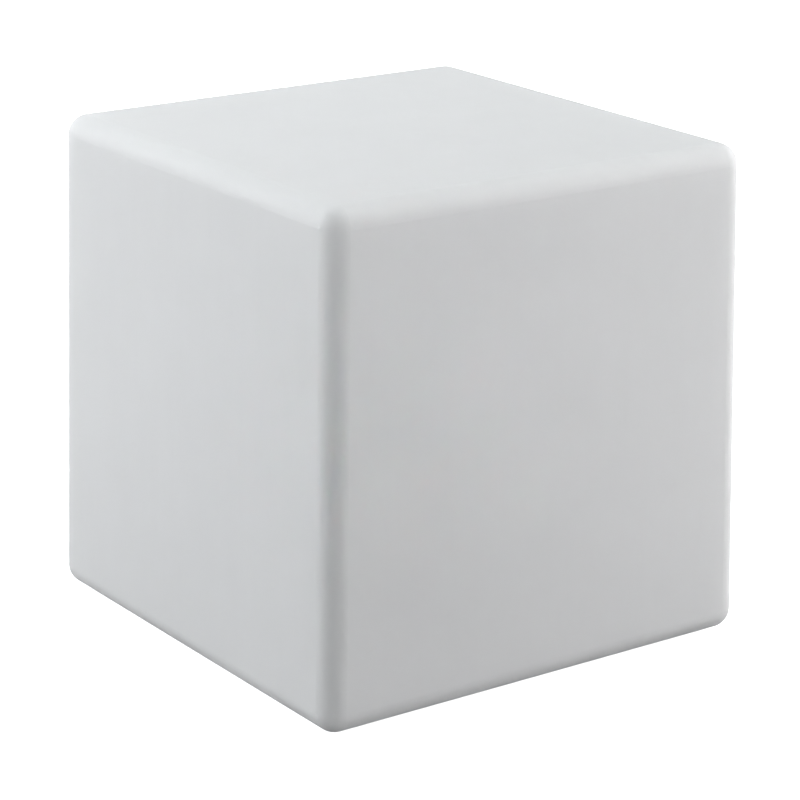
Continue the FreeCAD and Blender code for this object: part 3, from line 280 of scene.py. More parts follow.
# sizes in mm, depths in metres; each note says what the finish gives the eye
# the real grains are finer than this and wouldn't show, so they are drawn coarser
plainLooks = {
    # spark-eroded mould: dull, even, slightly pebbled
    "housing_plastic": {"name": "ABS, injection moulded, spark-eroded texture",
                        "colour": "#D9DBDA", "secondColour": "#D2D5D4", "cloudSize": 30,
                        "grainSize": 0.7, "grainDepth": 0.00006, "roughness": (0.5, 0.68),
                        "sockets": {"IOR": 1.54}},
    # soft rubber: nearly black, no gloss, faint mould bloom
    "seal_rubber": {"name": "EPDM rubber, compression moulded", "colour": "#2B2B2C",
                    "secondColour": "#363637", "cloudSize": 9, "grainSize": 0.5,
                    "grainDepth": 0.00003, "roughness": (0.75, 0.92), "sockets": {"IOR": 1.52}},
    # rubber with a dry, slightly dusty skin
    "foot_rubber": {"name": "thermoplastic rubber foot, moulded", "colour": "#3A3B3C",
                    "secondColour": "#464748", "cloudSize": 6, "grainSize": 0.4,
                    "grainDepth": 0.00004, "roughness": (0.7, 0.88), "sockets": {"IOR": 1.50}},
    # silicone: soft sheen, a little paler at grazing angles
    "cap_silicone": {"name": "silicone rubber, moulded", "colour": "#55585A",
                     "secondColour": "#5D6062", "cloudSize": 7, "grainSize": 0.4,
                     "grainDepth": 0.00002, "roughness": (0.55, 0.72),
                     "sockets": {"IOR": 1.41, "Sheen Weight": 0.15, "Sheen Roughness": 0.5}},
    # nylon: even satin
    "vent_plastic": {"name": "nylon vent plug, moulded", "colour": "#565859",
                     "secondColour": "#4E5051", "cloudSize": 5, "grainSize": 0.3,
                     "grainDepth": 0.00002, "roughness": (0.42, 0.58), "sockets": {"IOR": 1.53}},
    # satin ABS, smoother than the plate around it
    "button_plastic": {"name": "ABS button, moulded, satin", "colour": "#A6AAAD",
                       "secondColour": "#9FA3A6", "cloudSize": 5, "grainSize": 0.35,
                       "grainDepth": 0.00002, "roughness": (0.38, 0.5), "sockets": {"IOR": 1.54}},
    # glass-filled nylon: matte with short pale fibres at the skin
    "switch_plastic": {"name": "glass-filled nylon, moulded", "colour": "#3B3B3C",
                       "secondColour": "#454546", "cloudSize": 1.5, "grainSize": 0.25,
                       "grainDepth": 0.00001, "stretch": (1, 0.25, 1),
                       "roughness": (0.45, 0.7), "sockets": {"IOR": 1.53}},
    # acetal: slippery, creamy, a low soft gloss
    "plunger_plastic": {"name": "acetal plunger, moulded", "colour": "#DFDCD3",
                        "secondColour": "#D6D3C9", "cloudSize": 2, "grainSize": 0.25,
                        "grainDepth": 0.00001, "roughness": (0.3, 0.42), "sockets": {"IOR": 1.48}},
    # natural nylon: creamy, light goes in a little way
    "header_nylon": {"name": "natural nylon header, moulded", "colour": "#EDE8DA",
                     "secondColour": "#E6E0CF", "cloudSize": 3, "grainSize": 0.4,
                     "grainDepth": 0.00001, "roughness": (0.4, 0.55),
                     "sockets": {"IOR": 1.53, "Subsurface Weight": 0.2, "Subsurface Scale": 0.001}},
    # dull dark plastic with a coarse grain
    "holder_plastic": {"name": "flame-retardant ABS, moulded", "colour": "#4A4B4E",
                       "secondColour": "#525356", "cloudSize": 14, "grainSize": 0.5,
                       "grainDepth": 0.00004, "roughness": (0.5, 0.7), "sockets": {"IOR": 1.54}},
    # silicone insulation: soft, no hard highlight
    "wire_red": {"name": "red silicone insulation, extruded", "colour": "#A92A22",
                 "secondColour": "#9C241D", "cloudSize": 3, "grainSize": 0.3,
                 "grainDepth": 0.00001, "roughness": (0.5, 0.62), "sockets": {"IOR": 1.41}},
    # the same in black
    "wire_black": {"name": "black silicone insulation, extruded", "colour": "#2E2E2F",
                   "secondColour": "#373738", "cloudSize": 3, "grainSize": 0.3,
                   "grainDepth": 0.00001, "roughness": (0.5, 0.62), "sockets": {"IOR": 1.41}},
    # PVC: even white with a low gloss
    "harness_sheath": {"name": "white PVC sheath, extruded", "colour": "#E9E9E5",
                       "secondColour": "#E1E1DC", "cloudSize": 5, "grainSize": 0.5,
                       "grainDepth": 0.00002, "roughness": (0.4, 0.52), "sockets": {"IOR": 1.53}},
    # ferrite: dark grey, mottled, slightly metallic shine
    "coil_ferrite": {"name": "sintered ferrite, tumbled", "colour": "#3D3D40",
                     "secondColour": "#4B4B4D", "cloudSize": 1.2, "grainSize": 0.3,
                     "grainDepth": 0.00003, "roughness": (0.5, 0.75), "sockets": {"IOR": 2.0}},
    # milky silicone, cloudy through its thickness
    "dome_seal": {"name": "translucent silicone, die cut", "colour": "#DEE0E0",
                  "secondColour": "#D5D8D8", "cloudSize": 8, "grainSize": 0.6,
                  "grainDepth": 0.00002, "roughness": (0.45, 0.6),
                  "sockets": {"IOR": 1.41, "Subsurface Weight": 0.4, "Subsurface Scale": 0.002}},
    # frosted polycarbonate: milky, with a soft bloom of gloss
    "dome_polycarbonate": {"name": "diffusing polycarbonate, moulded, frosted",
                           "colour": "#F1F1F1", "secondColour": "#E9E9E9", "cloudSize": 25,
                           "grainSize": 0.5, "grainDepth": 0.00002, "roughness": (0.35, 0.5),
                           "sockets": {"IOR": 1.585, "Subsurface Weight": 1.0,
                                       "Subsurface Scale": 0.006}},
    # clear acrylic: bright, glassy edges
    "light_pipe": {"name": "acrylic light pipe, moulded clear", "colour": "#F4F7F7",
                   "secondColour": "#EEF2F2", "cloudSize": 2, "grainSize": 0.3,
                   "grainDepth": 0.000004, "roughness": (0.08, 0.16),
                   "sockets": {"IOR": 1.49, "Transmission Weight": 0.8}},
    # metals: colour from the alloy, fine lines from how it was made
    "brass": {"name": "free-cutting brass, turned", "colour": "#CDB176",
              "secondColour": "#C2A468", "cloudSize": 4, "grainSize": 0.6,
              "grainDepth": 0.00001, "stretch": (0.3, 0.3, 6), "roughness": (0.22, 0.38),
              "metallic": 1.0},
    # cold headed: bright with a fine even haze
    "stainless": {"name": "A2 stainless steel, cold headed", "colour": "#C6C5C2",
                  "secondColour": "#BAB9B6", "cloudSize": 3, "grainSize": 0.4,
                  "grainDepth": 0.00001, "roughness": (0.26, 0.42), "metallic": 1.0},
    # nickel: warm bright mirror with faint turning lines
    "socket_metal": {"name": "brass, bright nickel plated", "colour": "#C9C6BF",
                     "secondColour": "#BFBCB4", "cloudSize": 5, "grainSize": 0.5,
                     "grainDepth": 0.000005, "stretch": (0.5, 0.5, 5), "roughness": (0.14, 0.26),
                     "metallic": 1.0},
    # tin: grey-white, brushed one way by rolling
    "shield_tin": {"name": "tinned steel sheet, stamped", "colour": "#CFCECB",
                   "secondColour": "#C0BFBC", "cloudSize": 2, "grainSize": 0.5,
                   "grainDepth": 0.00001, "stretch": (6, 0.5, 1), "roughness": (0.25, 0.45),
                   "metallic": 1.0},
    # drawn aluminium: upright streaks
    "capacitor_can": {"name": "aluminium capacitor can, drawn", "colour": "#D3D4D6",
                      "secondColour": "#C7C8CB", "cloudSize": 3, "grainSize": 0.6,
                      "grainDepth": 0.00001, "stretch": (5, 5, 0.3), "roughness": (0.25, 0.4),
                      "metallic": 1.0},
    # rolled sheet: long straight lines one way
    "deck_aluminium": {"name": "aluminium sheet, rolled and stamped", "colour": "#DADBDD",
                       "secondColour": "#CDCED1", "cloudSize": 20, "grainSize": 1.2,
                       "grainDepth": 0.00002, "stretch": (8, 0.15, 1),
                       "roughness": (0.28, 0.45), "metallic": 1.0},
}

slotNodes = {}
for part in frame["record"]["subparts"]:
    slotNodes.setdefault(part["material_slot"], []).append(part["node"])
finishes = {}
for slotName, look in plainLooks.items():
    finishes[slotName] = patternedMaterial(look)
    dress(finishes[slotName], *slotNodes[slotName])
print("plain finishes made:", len(plainLooks))


boardLooks = {
    # solder mask over copper: tracks stand a little proud and show lighter
    "board_green": {"name": "glass-epoxy board, green solder mask", "mask": "#1B5A38",
                    "track": "#2A7349", "trackPitch": 1.8, "viaPitch": 3.4, "viaSize": 0.16,
                    "roughness": 0.32},
    "board_white": {"name": "aluminium-core board, white solder mask", "mask": "#EFF0EE",
                    "track": "#E2E4E1", "trackPitch": 6.0, "viaPitch": 9.0, "viaSize": 0.08,
                    "roughness": 0.38},
}
boardPattern = {
    "trackDepth": 0.00004,       # metres, a copper layer
    "bumpStrength": 0.6,
    "directions": (("X", 0.0), ("Y", 1.7)),     # axis of the bands, and what tells the two apart
    "bandFactor": 20,            # a wave texture repeats this many times slower than its scale
    "areaSize": 4,               # track pitches in a patch of tracks
    "areaKept": 0.52,            # noise above this carries tracks
    "lineKept": 0.62,            # wave above this is a track
    "ior": 1.55,
    "tin": "#CBC9C2",
    "tinRoughness": 0.3,
}


# tracks run both ways on a grid and stop where a noise says so; vias are tinned dots
def boardMaterial(look):
    material, tree, place = newMaterial(look["name"])
    tracks = []
    for axis, offset in boardPattern["directions"]:
        bands = addNode(tree, "ShaderNodeTexWave", {
            "wave_type": "BANDS", "bands_direction": axis, "Phase Offset": offset,
            "Scale": perMillimetre(look["trackPitch"]) / boardPattern["bandFactor"]},
            {"Vector": place})
        areas = addNode(tree, "ShaderNodeTexNoise", {
            "noise_dimensions": "4D", "W": offset,
            "Scale": perMillimetre(look["trackPitch"] * boardPattern["areaSize"])},
            {"Vector": place})
        kept, line = [
            addNode(tree, "ShaderNodeMath", {"operation": "GREATER_THAN", 1: level},
                    {0: source.outputs["Fac"]})
            for level, source in ((boardPattern["areaKept"], areas),
                                  (boardPattern["lineKept"], bands))]
        tracks.append(addNode(tree, "ShaderNodeMath", {"operation": "MULTIPLY"},
                              {0: kept.outputs[0], 1: line.outputs[0]}))
    copper = addNode(tree, "ShaderNodeMath", {"operation": "MAXIMUM"},
                     {0: tracks[0].outputs[0], 1: tracks[1].outputs[0]})
    colour = addNode(tree, "ShaderNodeMix", {
        "data_type": "RGBA", 6: linear(look["mask"]), 7: linear(look["track"])},
        {0: copper.outputs[0]})
    dots = addNode(tree, "ShaderNodeTexVoronoi", {
        "voronoi_dimensions": "2D", "Scale": perMillimetre(look["viaPitch"])}, {"Vector": place})
    via = addNode(tree, "ShaderNodeMath", {"operation": "LESS_THAN", 1: look["viaSize"]},
                  {0: dots.outputs["Distance"]})
    bump = addNode(tree, "ShaderNodeBump", {
        "Strength": boardPattern["bumpStrength"], "Distance": boardPattern["trackDepth"]},
        {"Height": copper.outputs[0]})
    mask = addNode(tree, "ShaderNodeBsdfPrincipled", {
        "Roughness": look["roughness"], "IOR": boardPattern["ior"]},
        {"Base Color": colour.outputs[2], "Normal": bump.outputs[0]})
    tin = addNode(tree, "ShaderNodeBsdfPrincipled", {
        "Base Color": linear(boardPattern["tin"]), "Metallic": 1.0,
        "Roughness": boardPattern["tinRoughness"]})
    mixed = addNode(tree, "ShaderNodeMixShader", links={
        0: via.outputs[0], 1: mask.outputs[0], 2: tin.outputs[0]})
    addNode(tree, "ShaderNodeOutputMaterial", links={"Surface": mixed.outputs[0]})
    return material


for slotName, look in boardLooks.items():
    finishes[slotName] = boardMaterial(look)
    dress(finishes[slotName], *slotNodes[slotName])
print("boards dressed")

cellLook = {
    "film": "#3F7FB5",
    "filmSecond": "#3A76A9",
    "steel": "#C9C7C3",
    "filmFoot": 0.0157,          # the film is shrunk over the can between these heights
    "filmTop": 0.0778,
    "wrinkleSize": (0.6, 0.6, 6),   # mm, upright pleats of the shrunk film
    "wrinkleDepth": 0.00004,
    "wrinkleStrength": 0.4,
    "filmRoughness": 0.3,
    "filmIor": 1.54,
    "steelRoughness": 0.28,
}


# heat-shrink film: even colour, fine upright pleats; bare nickel-plated steel at both ends
def cellMaterial():
    material, tree, place = newMaterial("battery cell, PVC heat-shrink film over plated steel")
    stretch = addNode(tree, "ShaderNodeMapping", {
        "Scale": tuple(perMillimetre(s) for s in cellLook["wrinkleSize"])}, {"Vector": place})
    pleats = addNode(tree, "ShaderNodeTexNoise", {"Scale": 1.0, "Detail": 2.0},
                     {"Vector": stretch.outputs[0]})
    bump = addNode(tree, "ShaderNodeBump", {
        "Strength": cellLook["wrinkleStrength"], "Distance": cellLook["wrinkleDepth"]},
        {"Height": pleats.outputs["Fac"]})
    tone = addNode(tree, "ShaderNodeMix", {
        "data_type": "RGBA", 6: linear(cellLook["film"]), 7: linear(cellLook["filmSecond"])},
        {0: pleats.outputs["Fac"]})
    film = addNode(tree, "ShaderNodeBsdfPrincipled", {
        "Roughness": cellLook["filmRoughness"], "IOR": cellLook["filmIor"]},
        {"Base Color": tone.outputs[2], "Normal": bump.outputs[0]})
    steel = addNode(tree, "ShaderNodeBsdfPrincipled", {
        "Base Color": linear(cellLook["steel"]), "Metallic": 1.0,
        "Roughness": cellLook["steelRoughness"]})
    height = addNode(tree, "ShaderNodeSeparateXYZ", links={0: place})
    ends = [addNode(tree, "ShaderNodeMath", {"operation": kind, 1: level},
                    {0: height.outputs["Z"]})
            for kind, level in (("LESS_THAN", cellLook["filmFoot"]),
                                ("GREATER_THAN", cellLook["filmTop"]))]
    bare = addNode(tree, "ShaderNodeMath", {"operation": "ADD"},
                   {0: ends[0].outputs[0], 1: ends[1].outputs[0]})
    mixed = addNode(tree, "ShaderNodeMixShader", links={
        0: bare.outputs[0], 1: film.outputs[0], 2: steel.outputs[0]})
    addNode(tree, "ShaderNodeOutputMaterial", links={"Surface": mixed.outputs[0]})
    return material


finishes["cell_wrap"] = cellMaterial()
dress(finishes["cell_wrap"], *slotNodes["cell_wrap"])
print("cells dressed")

smallLooks = {
    # lamp packages are chalky white; the gel over the chips is cloudy and waxy
    "lamp_package": {"name": "white polyphthalamide lamp package, moulded", "colour": "#F3F2EC",
                     "secondColour": "#ECEAE2", "cloudSize": 1, "grainSize": 0.2,
                     "grainDepth": 0.00001, "roughness": (0.45, 0.6), "sockets": {"IOR": 1.6}},
    # yellow gel, waxy and cloudy
    "phosphorGel": {"name": "silicone gel with yellow phosphor, cast", "colour": "#F0D75E",
                    "secondColour": "#E8CB4C", "cloudSize": 0.5, "grainSize": 0.15,
                    "grainDepth": 0.000005, "roughness": (0.25, 0.38),
                    "sockets": {"IOR": 1.41, "Subsurface Weight": 0.5,
                                "Subsurface Scale": 0.0005}},
    # milky gel, smooth and wet-looking
    "paleGel": {"name": "silicone gel, milky, cast", "colour": "#E6E9E4",
                "secondColour": "#DADFDA", "cloudSize": 0.5, "grainSize": 0.15,
                "grainDepth": 0.000005, "roughness": (0.15, 0.25),
                "sockets": {"IOR": 1.41, "Subsurface Weight": 0.5, "Subsurface Scale": 0.0005}},
    # tin over copper: soft bright metal
    "tinnedLead": {"name": "copper leads, tin plated", "colour": "#CFCDC8",
                   "secondColour": "#C2C0BA", "cloudSize": 0.8, "grainSize": 0.2,
                   "grainDepth": 0.000005, "roughness": (0.25, 0.4), "metallic": 1.0},
    # dark glaze with a small sharp shine
    "resistorBody": {"name": "glazed alumina chip resistor", "colour": "#2F3033",
                     "secondColour": "#3A3B3E", "cloudSize": 0.6, "grainSize": 0.2,
                     "grainDepth": 0.000005, "roughness": (0.3, 0.45), "sockets": {"IOR": 1.6}},
}
for finishName, look in smallLooks.items():
    finishes[finishName] = patternedMaterial(look)
dress(finishes["lamp_package"], *slotNodes["lamp_package"])
print("lamp packages dressed")


# a closed turned mesh; a row is (radius, height) in mm, or a function of the angle giving both
def turnedMesh(name, rows, segments):
    work = bmesh.new()
    rings = []
    for row in rows:
        at = row if callable(row) else (lambda angle, row=row: row)
        if at(0)[0] == 0:
            rings.append([work.verts.new((0, 0, at(0)[1] / 1000))])
            continue
        ring = []
        for step in range(segments):
            angle = 2 * math.pi * step / segments
            radius, height = at(angle)
            ring.append(work.verts.new((radius * math.cos(angle) / 1000,
                                        radius * math.sin(angle) / 1000, height / 1000)))
        rings.append(ring)
    for low, high in zip(rings, rings[1:]):
        for step in range(segments):
            after = (step + 1) % segments
            corners = [low[step % len(low)], low[after % len(low)],
                       high[after % len(high)], high[step % len(high)]]
            corners = list(dict.fromkeys(corners))
            if len(corners) > 2:
                work.faces.new(corners)
    bmesh.ops.recalc_face_normals(work, faces=work.faces)
    mesh = bpy.data.meshes.new(name)
    work.to_mesh(mesh)
    work.free()
    return mesh


# one or more plain blocks in one mesh: centre and size of each, in mm, with small bevels
def blockMesh(name, blocks, bevel=0.0):
    work = bmesh.new()
    for centre, size in blocks:
        made = bmesh.ops.create_cube(work, size=1.0)
        bmesh.ops.scale(work, vec=[s / 1000 for s in size], verts=made["verts"])
        bmesh.ops.translate(work, vec=[c / 1000 for c in centre], verts=made["verts"])
    if bevel:
        bmesh.ops.bevel(work, geom=list(work.edges), offset=bevel / 1000, segments=2,
                        affect="EDGES", profile=0.5)
    mesh = bpy.data.meshes.new(name)
    work.to_mesh(mesh)
    work.free()
    return mesh


turnSeed = 5                     # fixes the chance turns of the copies


# copies of the modifier's own mesh, on a ring or on a grid of places
def copiesTree(layout):
    tree = bpy.data.node_groups.new(layout + " of copies", "GeometryNodeTree")
    tree.is_modifier = True
    sockets = tree.interface
    sockets.new_socket("Geometry", in_out="INPUT", socket_type="NodeSocketGeometry")
    for label in ("Count", "Rows"):
        sockets.new_socket(label, in_out="INPUT", socket_type="NodeSocketInt")
    for label in ("Radius", "Width", "Depth", "Start", "Spread", "Outward"):
        sockets.new_socket(label, in_out="INPUT", socket_type="NodeSocketFloat")
    sockets.new_socket("Centre", in_out="INPUT", socket_type="NodeSocketVector")
    sockets.new_socket("Material", in_out="INPUT", socket_type="NodeSocketMaterial")
    sockets.new_socket("Geometry", in_out="OUTPUT", socket_type="NodeSocketGeometry")
    given = addNode(tree, "NodeGroupInput").outputs
    if layout == "ring":
        places = addNode(tree, "GeometryNodeMeshCircle", links={
            "Vertices": given["Count"], "Radius": given["Radius"]})
    else:
        places = addNode(tree, "GeometryNodeMeshGrid", links={
            "Vertices X": given["Count"], "Vertices Y": given["Rows"],
            "Size X": given["Width"], "Size Y": given["Depth"]})
    start = addNode(tree, "ShaderNodeCombineXYZ", links={"Z": given["Start"]})
    placed = addNode(tree, "GeometryNodeTransform", links={
        "Geometry": places.outputs[0], "Translation": given["Centre"],
        "Rotation": start.outputs[0]})
    index = addNode(tree, "GeometryNodeInputIndex")
    share = addNode(tree, "ShaderNodeMath", {"operation": "DIVIDE"},
                    {0: index.outputs[0], 1: given["Count"]})
    circle = addNode(tree, "ShaderNodeMath", {"operation": "MULTIPLY", 1: 2 * math.pi},
                     {0: share.outputs[0]})
    around = addNode(tree, "ShaderNodeMath", {"operation": "MULTIPLY"},
                     {0: circle.outputs[0], 1: given["Outward"]})
    chance = addNode(tree, "FunctionNodeRandomValue", {"data_type": "FLOAT", 2: 0.0, 8: turnSeed},
                     {3: given["Spread"]})
    turn = addNode(tree, "ShaderNodeMath", {"operation": "ADD"},
                   {0: around.outputs[0], 1: chance.outputs[1]})
    angle = addNode(tree, "ShaderNodeCombineXYZ", links={"Z": turn.outputs[0]})
    copies = addNode(tree, "GeometryNodeInstanceOnPoints", links={
        "Points": placed.outputs[0], "Instance": given["Geometry"],
        "Rotation": angle.outputs[0]})
    real = addNode(tree, "GeometryNodeRealizeInstances", links={"Geometry": copies.outputs[0]})
    finish = addNode(tree, "GeometryNodeSetMaterial", links={
        "Geometry": real.outputs[0], "Material": given["Material"]})
    addNode(tree, "NodeGroupOutput", links={"Geometry": finish.outputs[0]})
    return tree


trees = {layout: copiesTree(layout) for layout in ("ring", "grid")}


def smoothed(mesh, angle=35):
    mesh.polygons.foreach_set("use_smooth", [True] * len(mesh.polygons))
    mesh.set_sharp_from_angle(angle=math.radians(angle))
    return mesh


# runs the tree once and keeps its result as a plain mesh
def copiesMesh(name, mesh, layout, material, **values):
    piece = bpy.data.objects.new(name, mesh)
    bpy.context.scene.collection.objects.link(piece)
    modifier = piece.modifiers.new("copies", "NODES")
    modifier.node_group = trees[layout]
    values["Material"] = material
    for item in trees[layout].interface.items_tree:
        if item.in_out == "INPUT" and item.name in values:
            modifier[item.identifier] = values[item.name]
    shown = piece.evaluated_get(bpy.context.evaluated_depsgraph_get())
    result = bpy.data.meshes.new_from_object(shown)
    piece.modifiers.remove(modifier)
    bpy.data.objects.remove(piece)
    result.name = name
    return smoothed(result)


def addPiece(name, mesh, body, slotName, *replaced):
    piece = bpy.data.objects.new(name, mesh)
    bpy.context.scene.collection.objects.link(piece)
    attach(piece, body)
    if replaced:
        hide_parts(*replaced)


screwLooks = {
    # mm: shank radius, length, head radius and height, thread pitch; way +1 points up
    "base_screws": {"shank": 2.0, "length": 14, "head": 4.0, "headHeight": 2.4, "pitch": 0.7,
                    "way": 1, "layout": "ring", "Count": 6, "Radius": 0.074,
                    "Start": math.radians(30), "Centre": (0, 0, 0.0072)},
    "deck_screws": {"shank": 1.5, "length": 13, "head": 2.9, "headHeight": 2, "pitch": 0.5,
                    "way": -1, "layout": "ring", "Count": 4, "Radius": 0.0525,
                    "Start": math.radians(45), "Centre": (0, 0, 0.0915)},
    "led_board_screws": {"shank": 1.25, "length": 3.4, "head": 2.3, "headHeight": 1.6,
                         "pitch": 0.45, "way": -1, "layout": "ring", "Count": 3,
                         "Radius": 0.041, "Start": math.radians(90), "Centre": (0, 0, 0.0896)},
    "board_screws": {"shank": 1.25, "length": 8, "head": 2.3, "headHeight": 1.6, "pitch": 0.45,
                     "way": -1, "layout": "grid", "Count": 2, "Rows": 2, "Width": 0.046,
                     "Depth": 0.028, "Centre": (-0.004, -0.022, 0.0246)},
    "pack_tie_screw": {"shank": 1.5, "length": 13, "head": 2.9, "headHeight": 2, "pitch": 0.5,
                       "way": -1, "layout": "single", "Centre": (0, 0.022, 0.0818)},
}
screwShape = {
    "segments": 30,
    "rowsPerTurn": 5,
    "lobes": 6,
    "lobeDepth": 0.16,           # of the recess radius
    "floor": 0.4,                # the recess's middle, of the head's height
    "recess": [(0.36, 0.42), (0.42, 0.97)],     # of the head's radius and height, up to the rim
    "head": [(0.62, 1), (0.82, 0.95), (0.95, 0.72), (1, 0.4), (1, 0.08), (0.97, 0)],
    "neck": 0.4,                 # mm of plain shank under the head
    "threadStart": 0.5,          # mm
    "unthreaded": 1.3,           # mm in all, at the neck and the tip
    "threadDepth": 0.6,          # of the pitch
    "tip": 0.6,                  # of the shank's radius
    "turnSpread": 1.0,           # radians, each screw stops at its own turn
}


# pan head with a six-lobe recess, and a real helical thread cut into the shank
def screwMesh(name, look):
    way, head, tall = look["way"], look["head"], look["headHeight"]
    shank, length, pitch = look["shank"], look["length"], look["pitch"]
    depth = screwShape["threadDepth"] * pitch
    lobes, lobeDepth = screwShape["lobes"], screwShape["lobeDepth"]

    def drive(share, height):
        return lambda angle: (head * share * (1 + lobeDepth * math.cos(lobes * angle)),
                              -way * height)

    def thread(height, fade):
        def at(angle):
            turn = (height / pitch + angle / (2 * math.pi)) % 1
            return shank - fade * depth * abs(2 * turn - 1), way * height
        return at

    rows = [(0, -way * screwShape["floor"] * tall)]
    rows += [drive(share, level * tall) for share, level in screwShape["recess"]]
    rows += [(head * share, -way * level * tall) for share, level in screwShape["head"]]
    rows += [(shank, 0), (shank, way * screwShape["neck"])]
    perTurn = screwShape["rowsPerTurn"]
    steps = int((length - screwShape["unthreaded"]) / pitch * perTurn)
    rows += [thread(screwShape["threadStart"] + pitch * step / perTurn, min(1, step / perTurn))
             for step in range(steps)]
    rows += [(shank * screwShape["tip"], way * length), (0, way * length)]
    return turnedMesh(name, rows, segments=screwShape["segments"])


for screwName, look in screwLooks.items():
    values = {k: look[k] for k in ("Count", "Rows", "Radius", "Width", "Depth", "Start", "Centre")
              if k in look}
    screw = screwMesh(screwName + "_one", look)
    if look["layout"] == "single":
        made = smoothed(screw)
        made.transform(Matrix.Translation(look["Centre"]))
        made.materials.append(finishes["stainless"])
    else:
        made = copiesMesh(screwName + "_threaded", screw, look["layout"], finishes["stainless"],
                          Spread=screwShape["turnSpread"], **values)
    addPiece(screwName + "_threaded", made, "light", "stainless", screwName)
print("screws made:", len(screwLooks))

footLook = {
    "spread": 0.224,             # metres between foot centres
    "segments": 48,
    # mm: radius and height, ribs first
    "rows": [(0, 0.7), (1.8, 0.7), (2.2, 0.1), (2.6, 0), (4.0, 0), (4.3, 0.45), (5.2, 0.45),
             (5.5, 0), (6.9, 0), (7.2, 0.45), (8.1, 0.45), (8.4, 0), (9.9, 0), (10.5, 0.2),
             (10.9, 0.6), (11, 1.1), (11, 3.2), (0, 3.2)],
}
footMesh = copiesMesh("ribbed_feet", turnedMesh("foot_one", footLook["rows"],
                                                 footLook["segments"]), "grid",
                      finishes["foot_rubber"], Count=2, Rows=2, Width=footLook["spread"],
                      Depth=footLook["spread"])
addPiece("ribbed_feet", footMesh, "light", "foot_rubber", "foot_front_left", "foot_front_right",
         "foot_rear_left", "foot_rear_right")
print("feet made")

# places in metres; rows in mm: radius and height, the face first
buttonLook = {
    "segments": 64,
    "sharpAngle": 50,            # degrees
    "x": {"power_button": -0.020, "mode_button": 0.002},
    "y": -0.024,
    "dish": {"power_button": [(0, 6.95), (0.5, 6.98), (0.9, 7.2)],          # a raised dot
             "mode_button": [(0, 7.24), (1.1, 7.24), (1.3, 6.98), (1.8, 6.98), (2.0, 7.22)]},
    "rows": [(3.3, 7.16), (4.2, 6.98), (4.7, 6.82), (5.2, 6.8), (5.6, 6.88), (5.9, 7.08),
             (6.0, 7.4), (6.0, 12.05), (7.6, 12.05), (7.6, 13.25), (2.0, 13.25), (2.0, 17.5),
             (0, 17.5)],
}
for buttonName, x in buttonLook["x"].items():
    rows = buttonLook["dish"][buttonName] + buttonLook["rows"]
    face = smoothed(turnedMesh(buttonName + "_dished", rows, buttonLook["segments"]),
                    buttonLook["sharpAngle"])
    face.transform(Matrix.Translation((x, buttonLook["y"], 0)))
    face.materials.append(finishes["button_plastic"])
    addPiece(buttonName + "_dished", face, buttonName, "button_plastic", buttonName)
print("buttons made")

lensLooks = {
    # mm: gel radius and crown; metres and degrees: ring, start and top of the package
    "colour_led_gel": {"radius": 2.0, "crown": 0.22, "Count": 12, "Radius": 0.035, "start": 15,
                       "top": 0.0912, "finish": "paleGel"},
    "warm_led_gel": {"radius": 1.1, "crown": 0.15, "Count": 10, "Radius": 0.027, "start": 18,
                     "top": 0.0904, "finish": "phosphorGel"},
    "cool_led_gel": {"radius": 1.1, "crown": 0.15, "Count": 8, "Radius": 0.019, "start": 0,
                     "top": 0.0904, "finish": "phosphorGel"},
}
lensShape = {"steps": 5, "segments": 24, "sunk": 0.05}      # mm into the package
for lensName, look in lensLooks.items():
    crown, wide = look["crown"], look["radius"]
    rows = [(0, crown)]
    for step in range(1, lensShape["steps"] + 1):
        angle = math.radians(90 / lensShape["steps"] * step)
        rows.append((wide * math.sin(angle), crown * math.cos(angle)))
    rows += [(wide, -lensShape["sunk"]), (0, -lensShape["sunk"])]
    gel = copiesMesh(lensName, turnedMesh(lensName + "_one", rows, lensShape["segments"]), "ring",
                     finishes[look["finish"]], Count=look["Count"], Radius=look["Radius"],
                     Start=math.radians(look["start"]), Centre=(0, 0, look["top"]))
    addPiece(lensName, gel, "light", "lamp_package")
print("lamp gels made")

# tooth size and bevel in mm, places in metres, start in degrees
knurlLook = {"teeth": 30, "radius": 0.00345, "size": (0.5, 0.34, 3.2),
             "bevel": 0.08, "levels": (0.0158, 0.0212), "inserts": 6, "ring": 0.074,
             "start": 30}
for number, level in enumerate(knurlLook["levels"], 1):
    tooth = blockMesh("knurl_tooth", [((0, 0, 0), knurlLook["size"])], knurlLook["bevel"])
    band = copiesMesh("knurl_band", tooth, "ring", finishes["brass"], Count=knurlLook["teeth"],
                      Radius=knurlLook["radius"], Outward=1.0)
    knurls = copiesMesh("insert_knurls_%d" % number, band, "ring", finishes["brass"],
                        Count=knurlLook["inserts"], Radius=knurlLook["ring"],
                        Start=math.radians(knurlLook["start"]), Centre=(0, 0, level))
    addPiece("insert_knurls_%d" % number, knurls, "light", "brass")
print("insert knurls made")

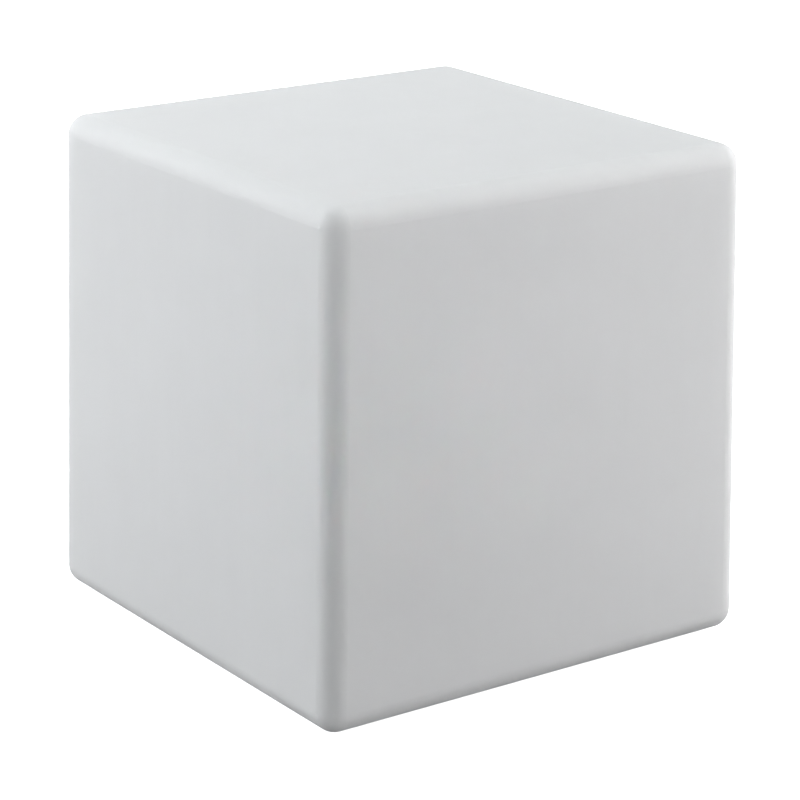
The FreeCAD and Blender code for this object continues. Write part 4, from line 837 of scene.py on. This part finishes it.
# places and pitches in metres, blocks and bevel in mm
boardDetail = {
    "chipSides": 4,
    "chipCentre": (-0.004, -0.024, 0.0246),
    "legPitch": 0.0006,
    "legs": 11,
    "legBlocks": [((4.25, 0, 0.62), (0.5, 0.26, 0.14)), ((4.5, 0, 0.34), (0.14, 0.26, 0.7)),
                  ((4.8, 0, 0.07), (0.6, 0.26, 0.14))],
    "chipRows": {                # centre in metres, copies each way, spread each way
        "front": ((-0.005, -0.0335, 0.0246), 3, 3, 0.0052, 0.0040),
        "rear": ((0.0133, -0.0105, 0.0246), 2, 2, 0.0024, 0.0024),
    },
    "bevel": 0.05,
    "resistor": [((0, 0, 0.24), (1.1, 0.8, 0.4))],
    "resistorEnds": [((-0.68, 0, 0.24), (0.3, 0.84, 0.46)), ((0.68, 0, 0.24), (0.3, 0.84, 0.46))],
}
legRow = copiesMesh("leg_row", blockMesh("leg", boardDetail["legBlocks"]), "grid",
                    finishes["tinnedLead"], Count=1, Rows=boardDetail["legs"],
                    Depth=boardDetail["legPitch"] * (boardDetail["legs"] - 1))
legs = copiesMesh("control_chip_legs", legRow, "ring", finishes["tinnedLead"],
                  Count=boardDetail["chipSides"], Radius=0.0, Outward=1.0,
                  Centre=boardDetail["chipCentre"])
addPiece("control_chip_legs", legs, "light", "shield_tin")
for rowName, (centre, count, rows, width, depth) in boardDetail["chipRows"].items():
    for partName, blocks, finishName, slotName in (
            ("resistors", boardDetail["resistor"], "resistorBody", "switch_plastic"),
            ("resistor_ends", boardDetail["resistorEnds"], "tinnedLead", "shield_tin")):
        name = "%s_%s" % (rowName, partName)
        made = copiesMesh(name, blockMesh(name + "_one", blocks, boardDetail["bevel"]), "grid",
                          finishes[finishName], Count=count, Rows=rows, Width=width, Depth=depth,
                          Centre=centre)
        addPiece(name, made, "light", slotName)
print("board detail made")

# span and centre in metres, rib size and bevel in mm
capLook = {"ribs": 4, "span": 0.0036, "centre": (0.0292, -0.018, 0.00436),
           "size": (0.5, 5.0, 0.3), "bevel": 0.1}
capRib = blockMesh("cap_rib", [((0, 0, 0), capLook["size"])], capLook["bevel"])
capRibs = copiesMesh("cap_grip_ribs", capRib, "grid", finishes["cap_silicone"],
                     Count=capLook["ribs"], Rows=1, Width=capLook["span"],
                     Centre=capLook["centre"])
addPiece("cap_grip_ribs", capRibs, "port_cap", "cap_silicone")
print("cap ribs made")
